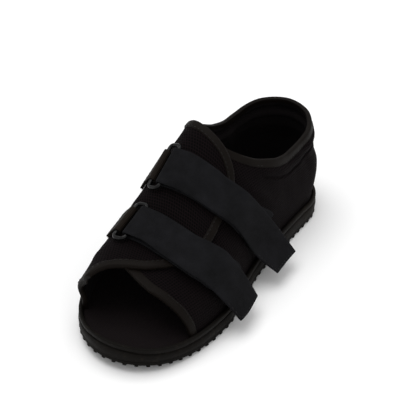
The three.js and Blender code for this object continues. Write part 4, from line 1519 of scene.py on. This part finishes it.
def moulded_acetal():
    """Acetal as it leaves a polished mould: black and glossy, with faint flow marks and rubs."""
    rub = 0.00385
    material, shader = new_finish("moulded_acetal")
    place = add_node(material, "ShaderNodeTexCoord").outputs["Object"]
    rubs, tone = clouded(material, place, rub, 5.0, "#050506", "#0a0a0b")
    gloss = add_node(material, "ShaderNodeMapRange", {"Value": rubs, "To Min": 0.20, "To Max": 0.38})
    feed(shader, {
        "Base Color": tone, "Roughness": gloss.outputs["Result"], "IOR": 1.48,
        "Specular IOR Level": 0.18, "Coat Weight": 0.04, "Coat Roughness": 0.15,
    })
    return material


def moulded_ring(name, edges):
    """A ring shaped from a torus: its round path becomes an oblong with rounded corners."""
    ring = ring_frame(edges)
    long = ring["half"] + ring_margin + bar / 2 - ring_corner
    short = ring_span / 2 - ring_corner
    centre = ring["centre"] + ring["down"] * ring_span / 2 + middle
    bpy.ops.object.select_all(action="DESELECT")
    bpy.ops.mesh.primitive_torus_add(
        major_segments=96, minor_segments=20, major_radius=1, minor_radius=0.5, location=(0, 0, 0),
    )
    piece = bpy.context.object
    piece.name = name
    # a quarter of the path's length is one long half bar, one corner and one short half bar
    corner_run = ring_corner * math.pi / 2
    quarter = long + corner_run + short
    for vertex in piece.data.vertices:
        x, y, z = vertex.co
        angle = math.atan2(y, x)
        ray = (math.hypot(x, y) - 1) * bar
        turned = angle % (2 * math.pi)
        number = int(turned // (math.pi / 2))
        run = (turned / (math.pi / 2) - number) * quarter
        if number % 2:
            run = quarter - run
        if run < short:
            u, v, tilt = long + ring_corner, run, 0
        elif run < short + corner_run:
            tilt = (run - short) / ring_corner
            u, v = long + ring_corner * math.cos(tilt), short + ring_corner * math.sin(tilt)
        else:
            u, v, tilt = long - (run - short - corner_run), short + ring_corner, math.pi / 2
        u, v = u + ray * math.cos(tilt), v + ray * math.sin(tilt)
        u *= 1 if number in (0, 3) else -1
        v *= 1 if number in (0, 1) else -1
        vertex.co = centre + ring["along"] * u + ring["down"] * v + ring["out"] * z * bar
    bpy.ops.object.mode_set(mode="EDIT")
    bpy.ops.mesh.select_all(action="SELECT")
    bpy.ops.mesh.normals_make_consistent(inside=False)
    bpy.ops.object.mode_set(mode="OBJECT")
    bpy.ops.object.shade_smooth()
    return piece


acetal = moulded_acetal()
for name, edges in (("front", front_strap_edges), ("rear", rear_strap_edges)):
    finish_piece(moulded_ring(f"{name}_ring", edges), "ring", acetal, f"ring_{name}")

# Ring tabs
# Short loops of narrow webbing, sewn to the inner flap, each of which goes round the outer bar of
# its ring and back.

tab = 0.0012
tab_edge = 0.0005
tab_foot, tab_head = 54, 63  # degrees from the medial lower edge where the loop starts and lifts off
tab_rise = 0.0009
tab_wrap = 40  # degrees that it goes on round the bar, past the half turn
tab_inset = 0.07  # the tab is narrower than the ring by this share at each end
tab_steps = 8


def webbing():
    """Woven polyester webbing: brown-black, with a plain weave drawn 1.2 mm coarse."""
    thread_spacing = 0.0012
    material, shader = new_finish("polyester_webbing")
    flat = add_node(material, "ShaderNodeUVMap", uv_map="UVMap").outputs["UV"]
    weave = crossed_threads(material, flat, thread_spacing, "MULTIPLY")
    tone = add_node(material, "ShaderNodeMix", {
        "Factor": weave, "A": linear("#0f0b08"), "B": linear("#221a12"),
    }, data_type="RGBA")
    bump = add_node(material, "ShaderNodeBump", {"Height": weave, "Strength": 0.6, "Distance": 0.0004})
    feed(shader, {
        "Base Color": tone.outputs["Result"], "Roughness": 0.7, "Normal": bump.outputs["Normal"],
        "Specular IOR Level": 0.08, "Sheen Weight": 0.01,
    })
    return material


def tab_rows(edges):
    """The middle of a tab in rows across it: up from its foot, round the bar and back down."""
    ring = ring_frame(edges)
    lower, upper = [], []
    for share in (step / tab_steps for step in range(tab_steps + 1)):
        turn = tab_foot + (tab_head - tab_foot) * share
        # the two layers are sewn down flat at the foot and come apart towards the ring
        lift = flap_rise(turn) + gap * (0.2 + 0.8 * share) + tab / 2 + tab_rise * share ** 2
        lower.append(row_on_upper(edges, turn, lift, tab_inset))
        upper.insert(0, row_on_upper(edges, turn, lift + tab + gap * (0.1 + 0.9 * share), tab_inset))
    on_bar = along_bar(ring["tab_centre"], ring["along"], ring["half"] * (1 - 2 * tab_inset))
    fold = fold_rows(on_bar, -ring["down"], ring["out"], bar / 2 + gap + tab / 2, tab_wrap)
    return [[point + middle for point in row] for row in lower + fold + upper]


tab_webbing = webbing()
for name, edges in (("front", front_strap_edges), ("rear", rear_strap_edges)):
    rows = tab_rows(edges)
    piece = ribbon(f"{name}_ring_tab", rows, tab, tab_edge)
    finish_piece(piece, "ring_tab", tab_webbing, f"ring_tab_{name}")
    outward = ring_frame(edges)["out"]
    # the loop is sewn down by two rows of stitches near its foot
    seams = [
        seam_across(f"{name}_tab_stitches", rows, [(i, j) for j in seam_columns], tab, outward)
        for i in (len(rows) - 3, len(rows) - 6)
    ]
    finish_piece(join(f"{name}_tab_stitches", seams), "ring_tab", thread)
